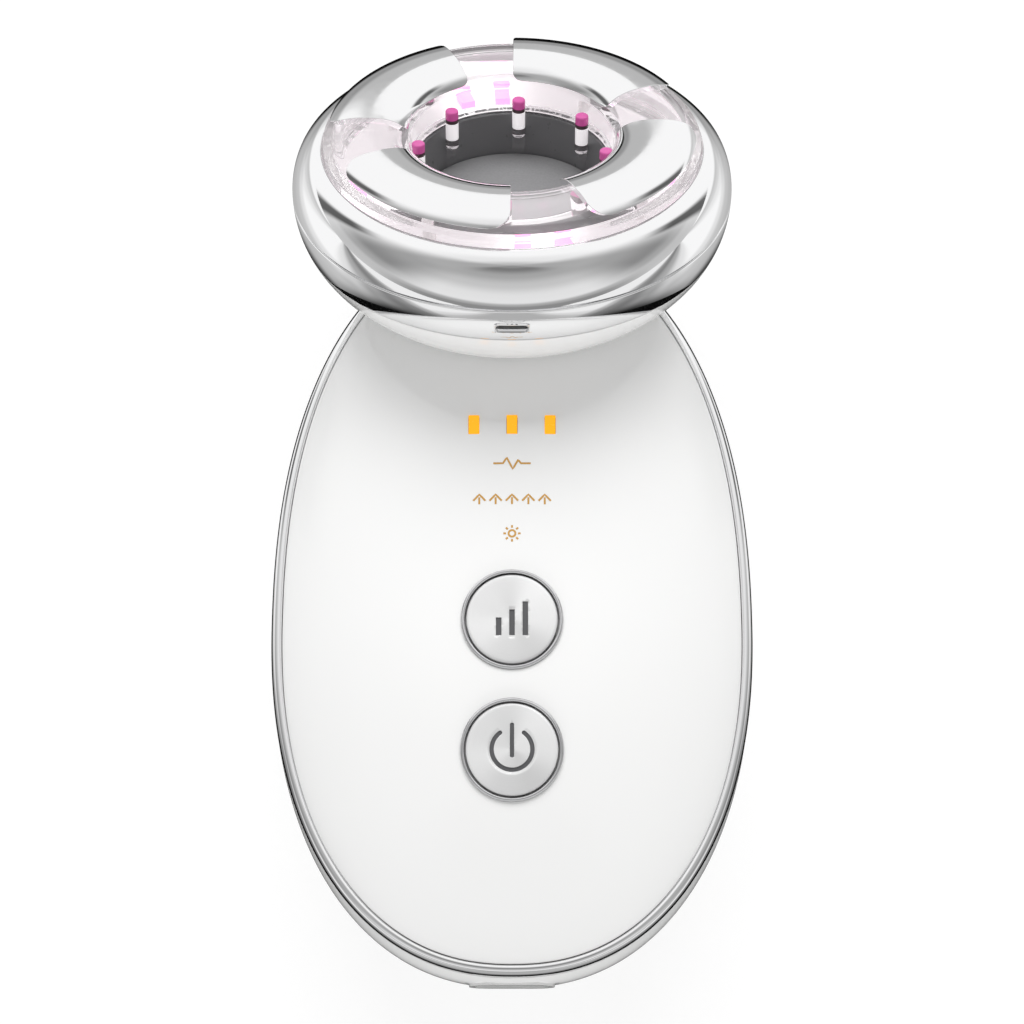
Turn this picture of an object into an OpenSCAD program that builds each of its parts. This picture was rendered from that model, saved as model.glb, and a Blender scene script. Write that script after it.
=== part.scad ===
// Palm-sized facial toning device, lying on its back.
// X runs across the handle, Y along it towards the head and Z out of the front panel.
// The origin is on the flat of the rear shell, under the widest row of the handle.

/* [Handle] */
// Half of the handle's width at its widest row
handle_half_w = 29.55; // [28:0.05:31]
// Length from the widest row to the lower end
handle_low = 43.5; // [42:0.5:46]
// Length from the widest row to the upper end, under the head
handle_top = 51.5; // [50:0.5:53]
// Roundness of the outline: 2 is an ellipse, more is squarer
outline_power = 2.25; // [2.1:0.05:2.4]
// Height of the bezel's top face above the surface the device lies on
rim_z = 25; // [24:0.5:27]
// Wall of the rear shell
shell_wall = 1.8; // [1.5:0.1:2]
// How far the rear shell swells past the bezel at the sides
side_swell = 0.45; // [0.3:0.05:0.6]
// How far the rear shell swells past the bezel at the lower end
end_swell = 0.8; // [0.4:0.1:1]
// Height of the rear shell's widest level
swell_z = 18; // [17:0.5:19]
// Half width of the flat that the device lies on
flat_half_w = 15; // [14:0.5:17]
// Length of that flat towards the lower end
flat_low = 26; // [24:1:28]
// Length of that flat towards the head
flat_top = 36; // [34:1:38]
// How far the heel under the head reaches past the upper end of the outline
heel_reach = 11; // [10.5:0.1:12]
// Height of the heel's farthest point
heel_z = 10.5; // [10:0.5:11.5]
// Roundness of the heel's outline: 2 is an ellipse
heel_roundness = 2; // [1.9:0.05:2.2]

/* [Bezel] */
// Width of the bezel's top face
bezel_w = 1.25; // [1:0.05:1.5]
// Height of the bezel's outer wall
bezel_h = 3.6; // [3.2:0.1:4]
// Radius of the bezel's outer edge
bezel_round = 0.5; // [0.3:0.05:0.7]
// Reach of the ledge that carries the panel, from the bezel's outer wall
ledge_w = 3; // [2.5:0.1:3.2]

/* [Front panel] */
// Height of the panel's crown above its edge
panel_crown = 6.5; // [6:0.1:7]
// Thickness of the panel
panel_t = 1.8; // [1.5:0.1:2]
// How flat the middle of the crown is
crown_flatness = 2.3; // [2.1:0.1:2.6]
// How far the panel's edge lies below the bezel's top face
panel_sunk = 0.15; // [0.1:0.05:0.3]
// Gap all round the panel
panel_gap = 0.1; // [0.05:0.05:0.2]

/* [Buttons] */
// Place of the mode button along the handle
mode_y = -1.95; // [-3:0.05:0]
// Place of the power button along the handle
power_y = -17.7; // [-19:0.1:-17]
// Radius of a button cap
cap_r = 5.5; // [5.2:0.05:5.6]
// Gap round a button cap
cap_gap = 0.2; // [0.1:0.05:0.3]
// Width of the face of a button's ring
ring_w = 0.45; // [0.4:0.05:0.55]
// Height of a button's ring above the panel
ring_rise = 0.3; // [0.2:0.05:0.4]
// Height of a button cap above the panel
cap_rise = 0.45; // [0.3:0.05:0.6]
// Travel of a button
press = 0.5; // [0.3:0.05:0.5]
// Depth of the symbols cut in the caps
symbol_depth = 0.15; // [0.1:0.05:0.3]
// Stroke of the power symbol
power_stroke = 0.52; // [0.4:0.02:0.7]
// Stroke of the mode symbol's three bars
mode_stroke = 0.66; // [0.5:0.02:0.8]

/* [Indicators] */
// Place of the indicators along the handle
indicator_y = 23.1; // [22.5:0.1:24]
// Distance from one indicator to the next
indicator_pitch = 4.72; // [4.2:0.02:5.2]
// Width of an indicator
indicator_w = 1.3; // [1:0.05:1.6]
// Length of an indicator
indicator_l = 2.46; // [2:0.02:2.8]

/* [Head] */
// How far the head's centre lies past the upper end of the outline
head_out = 3.9; // [3.6:0.05:4.2]
// Height of the head's widest level above the bezel, at its centre
head_rise = 6; // [5.8:0.1:6.5]
// Lean of the head's axis from the vertical towards the upper end
head_tilt = 33; // [32:0.5:34]
// Radius of the head at its widest level
head_r = 27.95; // [27.5:0.05:28.5]
// Depth at which the underside's curve would close
under_depth = 17.8; // [17.5:0.1:18.5]
// Fullness of the underside's curve
under_power = 2.1; // [2:0.05:2.2]
// Height of the chrome band under the seam
band_h = 5.2; // [4.8:0.1:5.6]
// Gap of the seam between shoulder ring and band
seam = 0.3; // [0.2:0.05:0.4]
// Depth of the bowl's flat base under the widest level
bowl_base = 14.8; // [14.5:0.1:15.2]
// Wall of the bowl
bowl_wall = 1.7; // [1.4:0.1:2]
// Gap between the bowl and the handle
bowl_gap = 0.15; // [0.1:0.05:0.25]
// Outer radius of the bowl's neck
neck_r = 10; // [9.5:0.1:10.5]
// Wall of the bowl's neck
neck_wall = 1.6; // [1.2:0.1:1.8]
// Height of the shoulder ring
shoulder_h = 6; // [5.8:0.1:6.4]
// Width of the vent in the band
vent_w = 4; // [3:0.1:5]
// Height of the vent in the band
vent_h = 1.2; // [1:0.1:2]

/* [Light ring and electrodes] */
// Thickness of the plated rings at the seam
ring_band_t = 2.75; // [2.6:0.05:2.9]
// Height of the crown above its foot
crown_h = 3.05; // [2.8:0.05:3.3]
// Height of the crown's foot above the widest level
crown_foot = 6.5; // [6.4:0.05:6.7]
// Fullness of the crown's curve
crown_power = 2.4; // [2.2:0.1:2.6]
// Width of the light ring's foot, under the shoulder ring
ring_foot_w = 1.2; // [1:0.05:1.3]
// Wall of the light ring
ring_wall = 1.5; // [1.3:0.1:1.6]
// Thickness of an electrode
electrode_t = 0.8; // [0.6:0.05:1]
// Angle that one electrode covers
electrode_span = 64.6; // [60:0.2:70]
// Direction of the middle of the first electrode
electrode_turn = 57.2; // [50:0.2:65]
// Radius of a contact stud
stud_r = 0.8; // [0.6:0.05:1]

/* [Suction cup] */
// Radius of the cup at its mouth
cup_mouth_r = 12.35; // [12.3:0.05:12.5]
// How much narrower the cup is at its floor
cup_taper = 0.3; // [0.1:0.05:0.5]
// Height of the cup's mouth above the widest level
cup_mouth = 3; // [2.9:0.05:3.1]
// Depth of the cup's floor under the widest level
cup_floor = 3.3; // [3:0.1:3.6]
// Wall of the cup
cup_wall = 1.4; // [1.3:0.05:1.45]
// Radius of the suction bore
suction_bore_r = 0.8; // [0.6:0.05:1]
// Thickness of the filter pad
filter_t = 0.6; // [0.4:0.05:0.8]
// Radius of an LED post
post_r = 0.85; // [0.7:0.05:0.9]
// How far an LED post's middle stands in from the cup's mouth
post_in = 0.45; // [0.4:0.05:0.5]
// Height of an LED post's top above the widest level
post_top = 5.5; // [5:0.1:5.8]
// Direction of the first LED post
post_turn = -4.2; // [-10:0.2:10]

/* [Charging socket] */
// Height of the socket's middle above the surface the device lies on
port_z = 17.5; // [17:0.1:18]
// Outer width of the socket
port_w = 8.94; // [8.94:0.01:9]
// Outer height of the socket
port_h = 3.26; // [3.2:0.01:3.3]
// Depth of the socket
port_depth = 7.3; // [6.5:0.1:8]
// Width of the trim round the socket
trim_w = 0.7; // [0.5:0.05:0.9]

/* [Inside] */
// Underside of the inner frame
frame_z = 19.5; // [19.3:0.1:19.7]
// Thickness of the inner frame
frame_t = 1.5; // [1.2:0.1:1.6]
// Gap between the inner frame and the shell's wall
frame_gap = 1.55; // [1.4:0.05:2]
// Height of the standoffs under the main board
standoff_h = 1.6; // [1.4:0.1:1.8]
// Thickness of the boards
board_t = 1; // [0.8:0.1:1.2]
// Half width of the main board
board_half_w = 15; // [14:0.5:16]
// Width of the battery
battery_w = 24; // [22:0.5:25]
// Length of the battery
battery_l = 36; // [34:0.5:37]
// Thickness of the battery
battery_t = 7.5; // [6.5:0.1:8]
// Radius of the pump's motor
motor_r = 6; // [5.5:0.1:6.2]
// Length of the pump's motor
motor_l = 15; // [14:0.5:15.5]
// Edge of the pump's head
pump_edge = 13; // [12:0.2:13.2]
// Radius of the motor's shaft
shaft_r = 1; // [0.8:0.05:1.2]
// Throw of the shaft's eccentric
throw = 0.8; // [0.5:0.05:1]
// Radius of the hoses
hose_r = 1.5; // [1.3:0.05:1.6]
// Travel of the bleed valve's plunger
valve_travel = 1; // [0.8:0.05:1.2]
// Radius of the bleed valve's plunger
plunger_r = 1.6; // [1.4:0.05:1.8]

/* [Hidden] */

$fn = 64;
sides = 72;      // points round the handle's outline
eps = 0.01;      // how far a cut reaches past a face
fit = 0.05;      // clearance of a piece in its hole

// Heights
bezel_foot = rim_z - bezel_h;
panel_edge_z = rim_z - panel_sunk;
ledge_z = panel_edge_z - panel_t;
frame_top = frame_z + frame_t;
board_z = frame_top + standoff_h;
board_top = board_z + board_t;

// Place and radii of the head
head_y = handle_top + head_out;
inner_wall_r = head_r - ring_band_t;           // bore of the plated rings
ring_foot_r = inner_wall_r - 0.2;
ring_wall_r = ring_foot_r - ring_foot_w;       // outer wall of the light ring
cup_floor_r = cup_mouth_r - cup_taper;
cup_outer_r = cup_floor_r + cup_wall;
post_place_r = cup_mouth_r - post_in;
crown_outer_r = ring_wall_r - 0.2;
crown_inner_r = cup_mouth_r + 0.65;
crown_mid_r = (crown_outer_r + crown_inner_r) / 2;
crown_half_w = (crown_outer_r - crown_inner_r) / 2;

// Chrome, whites and greys as the photograph shows them
chrome_tone = [0.82, 0.82, 0.83];
white_tone = [0.96, 0.96, 0.95];

// ---- Curves and lofts ----

// Point on a quarter-symmetric rounded curve, as shares of its half axes
function rounded(a, p) = [
    sign(cos(a)) * pow(abs(cos(a)), 2 / p),
    sign(sin(a)) * pow(abs(sin(a)), 2 / p)
];

// The handle's outline at height z; the upper half may have a power of its own
function outline(z, half_w, low, top, top_power = outline_power) = [
    for (i = [0 : sides - 1])
        let (q = rounded(360 * i / sides, i < sides / 2 ? top_power : outline_power))
        [half_w * q.x, (q.y < 0 ? low : top) * q.y, z]
];

// Skin over a list of rings that run counter-clockwise, with a flat end on each
module loft(rings) {
    n = len(rings[0]);
    last = len(rings) - 1;
    skin = [
        for (k = [0 : last - 1], i = [0 : n - 1])
            let (j = (i + 1) % n)
            each [[k * n + i, (k + 1) * n + i, (k + 1) * n + j], [k * n + i, (k + 1) * n + j, k * n + j]]
    ];
    ends = [[for (i = [0 : n - 1]) i], [for (i = [n - 1 : -1 : 0]) last * n + i]];
    polyhedron(points = [for (r = rings) each r], faces = concat(skin, ends), convexity = 6);
}

// Skin over a list of rings that closes on itself
module loop_loft(rings) {
    n = len(rings[0]);
    m = len(rings);
    skin = [
        for (k = [0 : m - 1], i = [0 : n - 1])
            let (j = (i + 1) % n, l = (k + 1) % m)
            each [[k * n + i, l * n + i, l * n + j], [k * n + i, l * n + j, k * n + j]]
    ];
    polyhedron(points = [for (r = rings) each r], faces = skin, convexity = 6);
}

// Round tube of radius r swept along a path, with no twist along it
function unit(v) = v / norm(v);
function square_to(v, d) = unit(v - (v * d) * d);
module swept_tube(path, r, n = 8) {
    last = len(path) - 1;
    heading = [for (k = [0 : last]) unit(path[min(k + 1, last)] - path[max(k - 1, 0)])];
    first = square_to(abs(heading[0].x) < 0.9 ? [1, 0, 0] : [0, 1, 0], heading[0]);
    side = [for (k = 0, v = first; k <= last; k = k + 1, v = square_to(v, heading[min(k, last)])) v];
    rings = [
        for (k = [0 : last])
            [
                for (i = [0 : n - 1])
                    path[k] + r * (cos(360 * i / n) * side[k] + sin(360 * i / n) * cross(heading[k], side[k]))
            ]
    ];
    loft(rings);
}

// Path with its corners cut again and again, which starts and ends straight
function cut_corners(p, again) = again == 0
    ? p
    : cut_corners(
        concat(
            [p[0]],
            [for (k = [0 : len(p) - 2]) each [0.75 * p[k] + 0.25 * p[k + 1], 0.25 * p[k] + 0.75 * p[k + 1]]],
            [p[len(p) - 1]]
        ),
        again - 1
    );

// ---- Rear shell's outer form ----

// Share of the way from the flat to the widest level
function swelling(z, full_z, p) = pow(1 - pow(max(full_z - z, 0) / full_z, p), 1 / p);
swell_power = 2;
heel_power = 1.6;
function shell_half_w(z) = z < swell_z
    ? flat_half_w + (handle_half_w + side_swell - flat_half_w) * swelling(z, swell_z, swell_power)
    : handle_half_w + side_swell * cos(90 * (z - swell_z) / (bezel_foot - swell_z));
function shell_low(z) = z < swell_z
    ? flat_low + (handle_low + end_swell - flat_low) * swelling(z, swell_z, swell_power)
    : handle_low + end_swell * cos(90 * (z - swell_z) / (bezel_foot - swell_z));
function heel_share(z) = (1 + cos(180 * (max(z, heel_z) - heel_z) / (bezel_foot - heel_z))) / 2;
function shell_top(z) = z < heel_z
    ? flat_top + (handle_top + heel_reach - flat_top) * swelling(z, heel_z, heel_power)
    : handle_top + heel_reach * heel_share(z);
function shell_top_power(z) = outline_power - (outline_power - heel_roundness) * heel_share(z);

// Outline of the shell at height z, drawn in by inset, which also lifts the floor
function shell_ring(z, inset) =
    let (level = max(z - inset, 0))
    outline(
        z,
        shell_half_w(level) - inset,
        shell_low(level) - inset,
        shell_top(level) - inset,
        shell_top_power(level)
    );

shell_levels = 9;
function shell_rings(inset) = [
    for (i = [0 : shell_levels]) shell_ring(inset + (swell_z - inset) * (1 - cos(90 * i / shell_levels)), inset),
    shell_ring((swell_z + bezel_foot) / 2, inset),
    shell_ring(bezel_foot, inset)
];

// ---- Front panel's form ----

panel_half_w = handle_half_w - bezel_w - panel_gap;
panel_low = handle_low - bezel_w - panel_gap;
panel_top = handle_top - bezel_w - panel_gap;
edge_softness = 0.8;
panel_shares = [0.05, 0.18, 0.34, 0.49, 0.62, 0.73, 0.82, 0.89, 0.94, 0.975, 1];

// Height of the panel's face at share s of the way to its edge
function panel_z(s) = panel_edge_z + panel_crown * pow(max(1 - pow(s, crown_flatness), 0), edge_softness);
function panel_share(x, y) = pow(
    pow(abs(x) / panel_half_w, outline_power) + pow(abs(y) / (y < 0 ? panel_low : panel_top), outline_power),
    1 / outline_power
);
function panel_ring(s, drop) = outline(panel_z(s) - drop, panel_half_w * s, panel_low * s, panel_top * s);

// Lean of the panel's face along Y at x = 0
function panel_lean(y) = atan((panel_z(panel_share(0, y + 0.1)) - panel_z(panel_share(0, y - 0.1))) / 0.2);

// ---- Head's form ----

module at_head() {
    translate([0, head_y, rim_z + head_rise])
        rotate([-head_tilt, 0, 0])
            children();
}

// Point of the head's frame in the part's frame
function from_head(p) = [
    p.x,
    head_y + p.y * cos(head_tilt) + p.z * sin(head_tilt),
    rim_z + head_rise - p.y * sin(head_tilt) + p.z * cos(head_tilt)
];

// Radius of the underside at height t, where t is 0 at the widest level and negative below
function under_r(t) = head_r * pow(1 - pow(-t / under_depth, under_power), 1 / under_power);
under_steps = 8;
function under_curve(t0, t1, grow = 0) = [
    for (i = [0 : under_steps])
        let (t = t0 + (t1 - t0) * i / under_steps)
        [under_r(t) + grow, t]
];

// Points of the crown's curve, drawn in by inset, from outer angle a0 to a1
crown_steps = 16;
function crown_curve(inset, a0, a1) = [
    for (i = [0 : crown_steps])
        let (q = rounded(a0 + (a1 - a0) * i / crown_steps, crown_power))
        [crown_mid_r + (crown_half_w - inset) * q.x, crown_foot + (crown_h - inset) * q.y]
];
electrode_outer_angle = 26;
electrode_inner_angle = 166;

// Sizes inside the head, shared by the pieces there
seat_t = 2;                                    // thickness of the seat under the bowl
seat_top = -bowl_base - bowl_gap;              // height of the seat's face in the head's frame
core_top = 0.65;
vent_t = -(band_h + seam) * 0.564;             // height of the vent's middle
core_flange_foot = -1.2;
bowl_floor = -bowl_base + 1.8;
neck_foot = seat_top - seat_t - 2.2;
nut_t = 2;
nut_r = neck_r + 2.6;
core_bore_r = cup_outer_r + 0.15;
core_wall = 1.4;
core_r = core_bore_r + core_wall;
core_foot_r = core_r + 2;
core_foot_t = 1.4;
core_screw_r = 0.9;
core_screw_turn = 30;
core_screw_place_r = core_foot_r - 1.2;

// Everything of the handle that gives way to the head
module head_room() {
    at_head()
        rotate_extrude()
            polygon(concat(
                [[0, -bowl_base - bowl_gap]],
                [for (p = under_curve(-bowl_base, 0)) [p.x + bowl_gap, p.y - (p.y == -bowl_base ? bowl_gap : 0)]],
                [[head_r + bowl_gap, head_r], [0, head_r]]
            ));
}

// ---- Handle ----

seat_r = 16;
gusset_x = 14.2;
gusset_t = 2;
boss_r = 2.6;
boss_places = [[20, -14], [-20, -14], [20, 16], [-20, 16]];
frame_screw_r = 0.9;
screw_grip = 5;                                // length of a frame screw in its boss
socket_post_r = 1.5;
socket_post_x = 4;
board_rest_z = port_z - port_h / 2 - board_t;  // underside of the charging board
board_low_y = -41;
socket_mouth_y = -(handle_low - 0.9);
rib_inset = shell_wall / 2;

// Slot with round ends, width w and height h, from y0 to y1
module flat_slot(w, h, y0, y1) {
    translate([0, y0, port_z])
        rotate([-90, 0, 0]) {
            for (x = [-1, 1])
                translate([x * (w - h) / 2, 0, 0])
                    cylinder(h = y1 - y0, d = h);
            translate([-(w - h) / 2, -h / 2, 0])
                cube([w - h, h, y1 - y0]);
        }
}

module seat_and_bosses() {
    intersection() {
        union() {
            at_head()
                translate([0, 0, seat_top - seat_t])
                    cylinder(h = seat_t, r = seat_r);
            for (side = [-1, 1])
                translate([side * gusset_x + gusset_t / 2, 0, 0])
                    rotate([0, -90, 0])
                        linear_extrude(gusset_t)
                            polygon([for (p = [
                                from_head([0, -9, seat_top - seat_t / 2]),
                                from_head([0, 9, seat_top - seat_t / 2]),
                                [0, handle_top + 0.5, 0],
                                [0, handle_top - 11.5, 0]
                            ]) [p.z, p.y]]);
            for (p = boss_places)
                translate([p.x, p.y, 0])
                    cylinder(h = frame_z, r = boss_r);
            for (x = [-1, 1])
                translate([x * socket_post_x, board_low_y + 8, 0])
                    cylinder(h = board_rest_z, r = socket_post_r);
        }
        loft(concat(shell_rings(rib_inset), [shell_ring(rim_z, rib_inset)]));
    }
}

module rear_shell() {
    color(white_tone)
        difference() {
            union() {
                loft(concat(
                    shell_rings(0),
                    [for (i = [len(shell_rings(0)) - 1 : -1 : 0]) shell_rings(shell_wall)[i]]
                ));
                seat_and_bosses();
            }
            head_room();
            at_head()
                translate([0, 0, seat_top - seat_t - eps])
                    cylinder(h = seat_t + 1, r = neck_r + bowl_gap);
            flat_slot(port_w + 2 * (trim_w + fit), port_h + 2 * (trim_w + fit), -handle_low - 2, -handle_low + 4);
            for (p = boss_places)
                translate([p.x, p.y, frame_z - screw_grip - 1])
                    cylinder(h = screw_grip + 1 + eps, r = frame_screw_r + fit);
        }
}

module bezel() {
    turn = [for (a = [0 : 30 : 90]) [bezel_round * (1 - cos(a)), rim_z - bezel_round * (1 - sin(a))]];
    inner_round = bezel_round / 2;
    section = concat(
        [[0, bezel_foot]],
        turn,
        [
            [bezel_w - inner_round, rim_z],
            [bezel_w, rim_z - inner_round],
            [bezel_w, ledge_z],
            [ledge_w, ledge_z],
            [ledge_w, bezel_foot]
        ]
    );
    color(chrome_tone)
        difference() {
            loop_loft([
                for (s = section)
                    outline(s.y, handle_half_w - s.x, handle_low - s.x, handle_top - s.x)
            ]);
            head_room();
        }
}

module indicator_block(grow, z0, z1) {
    for (k = [-1 : 1])
        translate([k * indicator_pitch, indicator_y, (z0 + z1) / 2])
            cube([indicator_w + 2 * grow, indicator_l + 2 * grow, z1 - z0], center = true);
}

module front_panel() {
    last = len(panel_shares) - 1;
    color(white_tone)
        difference() {
            loft(concat(
                [for (i = [0 : last]) panel_ring(panel_shares[i], panel_t)],
                [for (i = [last : -1 : 0]) panel_ring(panel_shares[i], 0)]
            ));
            head_room();
            for (y = [mode_y, power_y])
                at_button(y) {
                    translate([0, 0, -4])
                        cylinder(h = 8, r = sleeve_r + fit);
                    translate([0, 0, -ring_sunk])
                        cylinder(h = 4, r = ring_r + fit);
                }
            indicator_block(fit, ledge_z, rim_z + panel_crown + 2);
        }
}

// ---- Buttons ----

ring_sunk = 0.2;
ring_r = cap_r + cap_gap + ring_w;
sleeve_r = ring_r - 0.15;
sleeve_depth = 2;
lip_r = sleeve_r + 0.15;
lip_t = 0.85;
lip_gap = 0.15;
stem_r = 1.4;
stem_l = 0.5;
cap_foot = sleeve_depth + lip_gap + lip_t;
dish = 0.25;                                   // fall of the cap's face from middle to edge

// Frame of a button: origin on the panel's face, Z square to it
module at_button(y) {
    translate([0, y, panel_z(panel_share(0, y))])
        rotate([panel_lean(y), 0, 0])
            children();
}

module button_ring(y) {
    color([0.62, 0.62, 0.63])
        at_button(y)
            rotate_extrude()
                polygon([
                    [cap_r + cap_gap, -sleeve_depth],
                    [sleeve_r, -sleeve_depth],
                    [sleeve_r, -ring_sunk],
                    [ring_r, -ring_sunk],
                    [ring_r, ring_rise * 0.5],
                    [ring_r - 0.15, ring_rise],
                    [cap_r + cap_gap + 0.1, ring_rise],
                    [cap_r + cap_gap, ring_rise * 0.6]
                ]);
}

module cap_body() {
    face = [for (i = [0 : 4]) [cap_r * 0.94 * i / 4, cap_rise - dish * pow(i / 4, 2)]];
    rotate_extrude()
        polygon(concat(
            [[0, -cap_foot - stem_l], [stem_r, -cap_foot - stem_l], [stem_r, -cap_foot], [lip_r, -cap_foot]],
            [[lip_r, -cap_foot + lip_t], [cap_r, -cap_foot + lip_t], [cap_r, cap_rise - 2 * dish]],
            [for (i = [4 : -1 : 0]) face[i]]
        ));
}

// Generic mode symbol: three level bars that grow
module mode_symbol() {
    pitch = 1.6;
    for (i = [-1 : 1])
        translate([i * pitch - mode_stroke / 2, -2.1, 0])
            cube([mode_stroke, 2.2 + (i + 1) * 1, 2]);
}

// Power symbol: an open ring and a bar
module power_symbol() {
    arc_r = 2.42;
    opening = 36;
    rotate([0, 0, 90 + opening])
        rotate_extrude(angle = 360 - 2 * opening)
            translate([arc_r - power_stroke / 2, 0])
                square([power_stroke, 2]);
    translate([-power_stroke / 2, -1.1, 0])
        cube([power_stroke, 4.25, 2]);
}

module mode_cap() {
    color([0.78, 0.78, 0.79])
        at_button(mode_y)
            difference() {
                cap_body();
                translate([0, 0, cap_rise - dish * 0.25 - symbol_depth])
                    mode_symbol();
            }
}

module power_cap() {
    color([0.78, 0.78, 0.79])
        at_button(power_y)
            difference() {
                cap_body();
                translate([0, 0, cap_rise - dish * 0.25 - symbol_depth])
                    power_symbol();
            }
}

switch_edge = 6.2;
switch_h = 2.7;
switch_pin_r = 1.2;
switch_gap = 0.15;
pin_gap = 0.1;

// Tip of a cap's stem in the part's frame
function stem_tip(y) =
    let (a = panel_lean(y), l = cap_foot + stem_l)
    [0, y + l * sin(a), panel_z(panel_share(0, y)) - l * cos(a)];

module switch_body(y) {
    tip = stem_tip(y);
    color([0.18, 0.18, 0.19])
        difference() {
            translate([-switch_edge / 2, tip.y - switch_edge / 2, board_top])
                cube([switch_edge, switch_edge, switch_h]);
            translate([0, tip.y, board_top + 0.3])
                cylinder(h = switch_h, r = switch_pin_r + switch_gap);
        }
}

module switch_pin(y) {
    tip = stem_tip(y);
    foot = board_top + 0.3 + press + pin_gap;
    color([0.85, 0.83, 0.78])
        translate([0, tip.y, foot])
            cylinder(h = tip.z - stem_r * abs(sin(panel_lean(y))) - pin_gap - foot, r = switch_pin_r);
}

// ---- Indicators and boards ----

led_h = 0.9;
guide_gap = 0.4;
guide_flange = 0.5;

module indicator_guides() {
    flange_top = panel_z(panel_share(indicator_pitch * 1.3, indicator_y + indicator_l)) - panel_t - 0.1;
    color([0.98, 0.69, 0.06]) {
        for (k = [-1 : 1]) {
            face = panel_z(panel_share(k * indicator_pitch, indicator_y));
            translate([k * indicator_pitch, indicator_y, 0]) {
                translate([-indicator_w / 2, -indicator_l / 2, board_top + led_h + guide_gap])
                    cube([indicator_w, indicator_l, face + fit - board_top - led_h - guide_gap]);
                translate([-indicator_w / 2 - guide_flange, -indicator_l / 2 - guide_flange, flange_top - 0.8])
                    cube([indicator_w + 2 * guide_flange, indicator_l + 2 * guide_flange, 0.8]);
            }
        }
    }
}

module indicator_leds() {
    color([0.9, 0.9, 0.75])
        for (k = [-1 : 1])
            translate([k * indicator_pitch - 0.65, indicator_y - 1, board_top])
                cube([1.3, 2, led_h]);
}

board_low = -27;
board_high = 29;
board_corner = 3;
module main_board() {
    color([0.1, 0.35, 0.2]) {
        translate([-board_half_w, board_low + board_corner, board_z])
            cube([2 * board_half_w, board_high - board_low - 2 * board_corner, board_t]);
        translate([-board_half_w + board_corner, board_low, board_z])
            cube([2 * (board_half_w - board_corner), board_high - board_low, board_t]);
        for (x = [-1, 1], y = [board_low + board_corner, board_high - board_corner])
            translate([x * (board_half_w - board_corner), y, board_z])
                cylinder(h = board_t, r = board_corner);
    }
}

// Chips and connectors: place, then width, length and height
chips = [
    [[8, 9], [7, 7, 1]],
    [[-8, 7], [5, 4, 1.2]],
    [[9, -8], [4, 4, 1.8]],
    [[-9, -8], [3, 5, 2]],
    [[9.5, -17], [3, 1.6, 1]],
    [[-9.5, -18], [3, 1.6, 1]],
    [[0, 27], [8, 2.6, 2]]
];
module board_chips() {
    color([0.12, 0.12, 0.13])
        for (c = chips)
            translate([c[0].x - c[1].x / 2, c[0].y - c[1].y / 2, board_top])
                cube(c[1]);
}

module inner_frame() {
    frame_in = shell_wall + frame_gap;
    cut_y = board_high;
    window = [18, 12];
    color([0.75, 0.75, 0.76])
        difference() {
            union() {
                translate([0, 0, frame_z])
                    linear_extrude(frame_t)
                        polygon([
                            for (p = outline(0, handle_half_w - frame_in, handle_low - frame_in, handle_top - frame_in))
                                [p.x, min(p.y, cut_y)]
                        ]);
                for (x = [-1, 1], y = [board_low + board_corner, board_high - board_corner - 2])
                    translate([x * (board_half_w - board_corner), y, frame_top - eps])
                        cylinder(h = standoff_h + eps, r = 1.8);
            }
            for (p = boss_places)
                translate([p.x, p.y, frame_z - eps])
                    cylinder(h = frame_t + 2 * eps, r = frame_screw_r + fit);
            translate([-window.x / 2, 4, frame_z - eps])
                cube([window.x, window.y, frame_t + 2 * eps]);
        }
}

module frame_screws() {
    color([0.7, 0.7, 0.72])
        for (p = boss_places)
            translate([p.x, p.y, 0]) {
                translate([0, 0, frame_z - screw_grip])
                    cylinder(h = frame_t + screw_grip, r = frame_screw_r);
                translate([0, 0, frame_top])
                    cylinder(h = frame_screw_r, r = 2 * frame_screw_r);
            }
}

// ---- Battery ----

pad_t = 0.8;
pad_in = 4;                                    // how far the pad's edge lies in from the battery's
battery_y = -4;
module battery_pad() {
    color([0.25, 0.25, 0.26])
        translate([-battery_w / 2 + pad_in, battery_y - battery_l / 2 + pad_in, shell_wall])
            cube([battery_w - 2 * pad_in, battery_l - 2 * pad_in, pad_t]);
}

module battery() {
    color([0.72, 0.74, 0.78])
        translate([-battery_w / 2, battery_y - battery_l / 2, shell_wall + pad_t])
            cube([battery_w, battery_l, battery_t]);
}

// ---- Vacuum pump: motor, shaft with eccentric, head ----

pump_y = 24.5;
pump_z = 10.8;
pump_split_x = -1;                             // where the motor meets the pump's head
shaft_gap = 0.06;
cam_r = 3;
cam_t = 3;
cam_room = 0.4;
cam_x = 2.5;                                   // where the cam starts, from the split
nozzle_r = 1.1;
nozzle_l = 2.5;
bleed_l = 1.5;                                 // nozzles of the bleed hose

module along_x(x) {
    translate([x, pump_y, pump_z])
        rotate([0, 90, 0])
            children();
}

module pump_motor() {
    color([0.66, 0.67, 0.69])
        difference() {
            along_x(pump_split_x - motor_l)
                cylinder(h = motor_l, r = motor_r);
            along_x(pump_split_x - motor_l + 1.5)
                cylinder(h = motor_l, r = shaft_r + shaft_gap);
        }
}

module pump_rotor() {
    color([0.75, 0.75, 0.77]) {
        along_x(pump_split_x - motor_l + 2)
            cylinder(h = motor_l + cam_x - 2 + cam_t + 0.3, r = shaft_r);
        translate([0, 0, throw])
            along_x(pump_split_x + cam_x)
                cylinder(h = cam_t, r = cam_r);
    }
}

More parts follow.
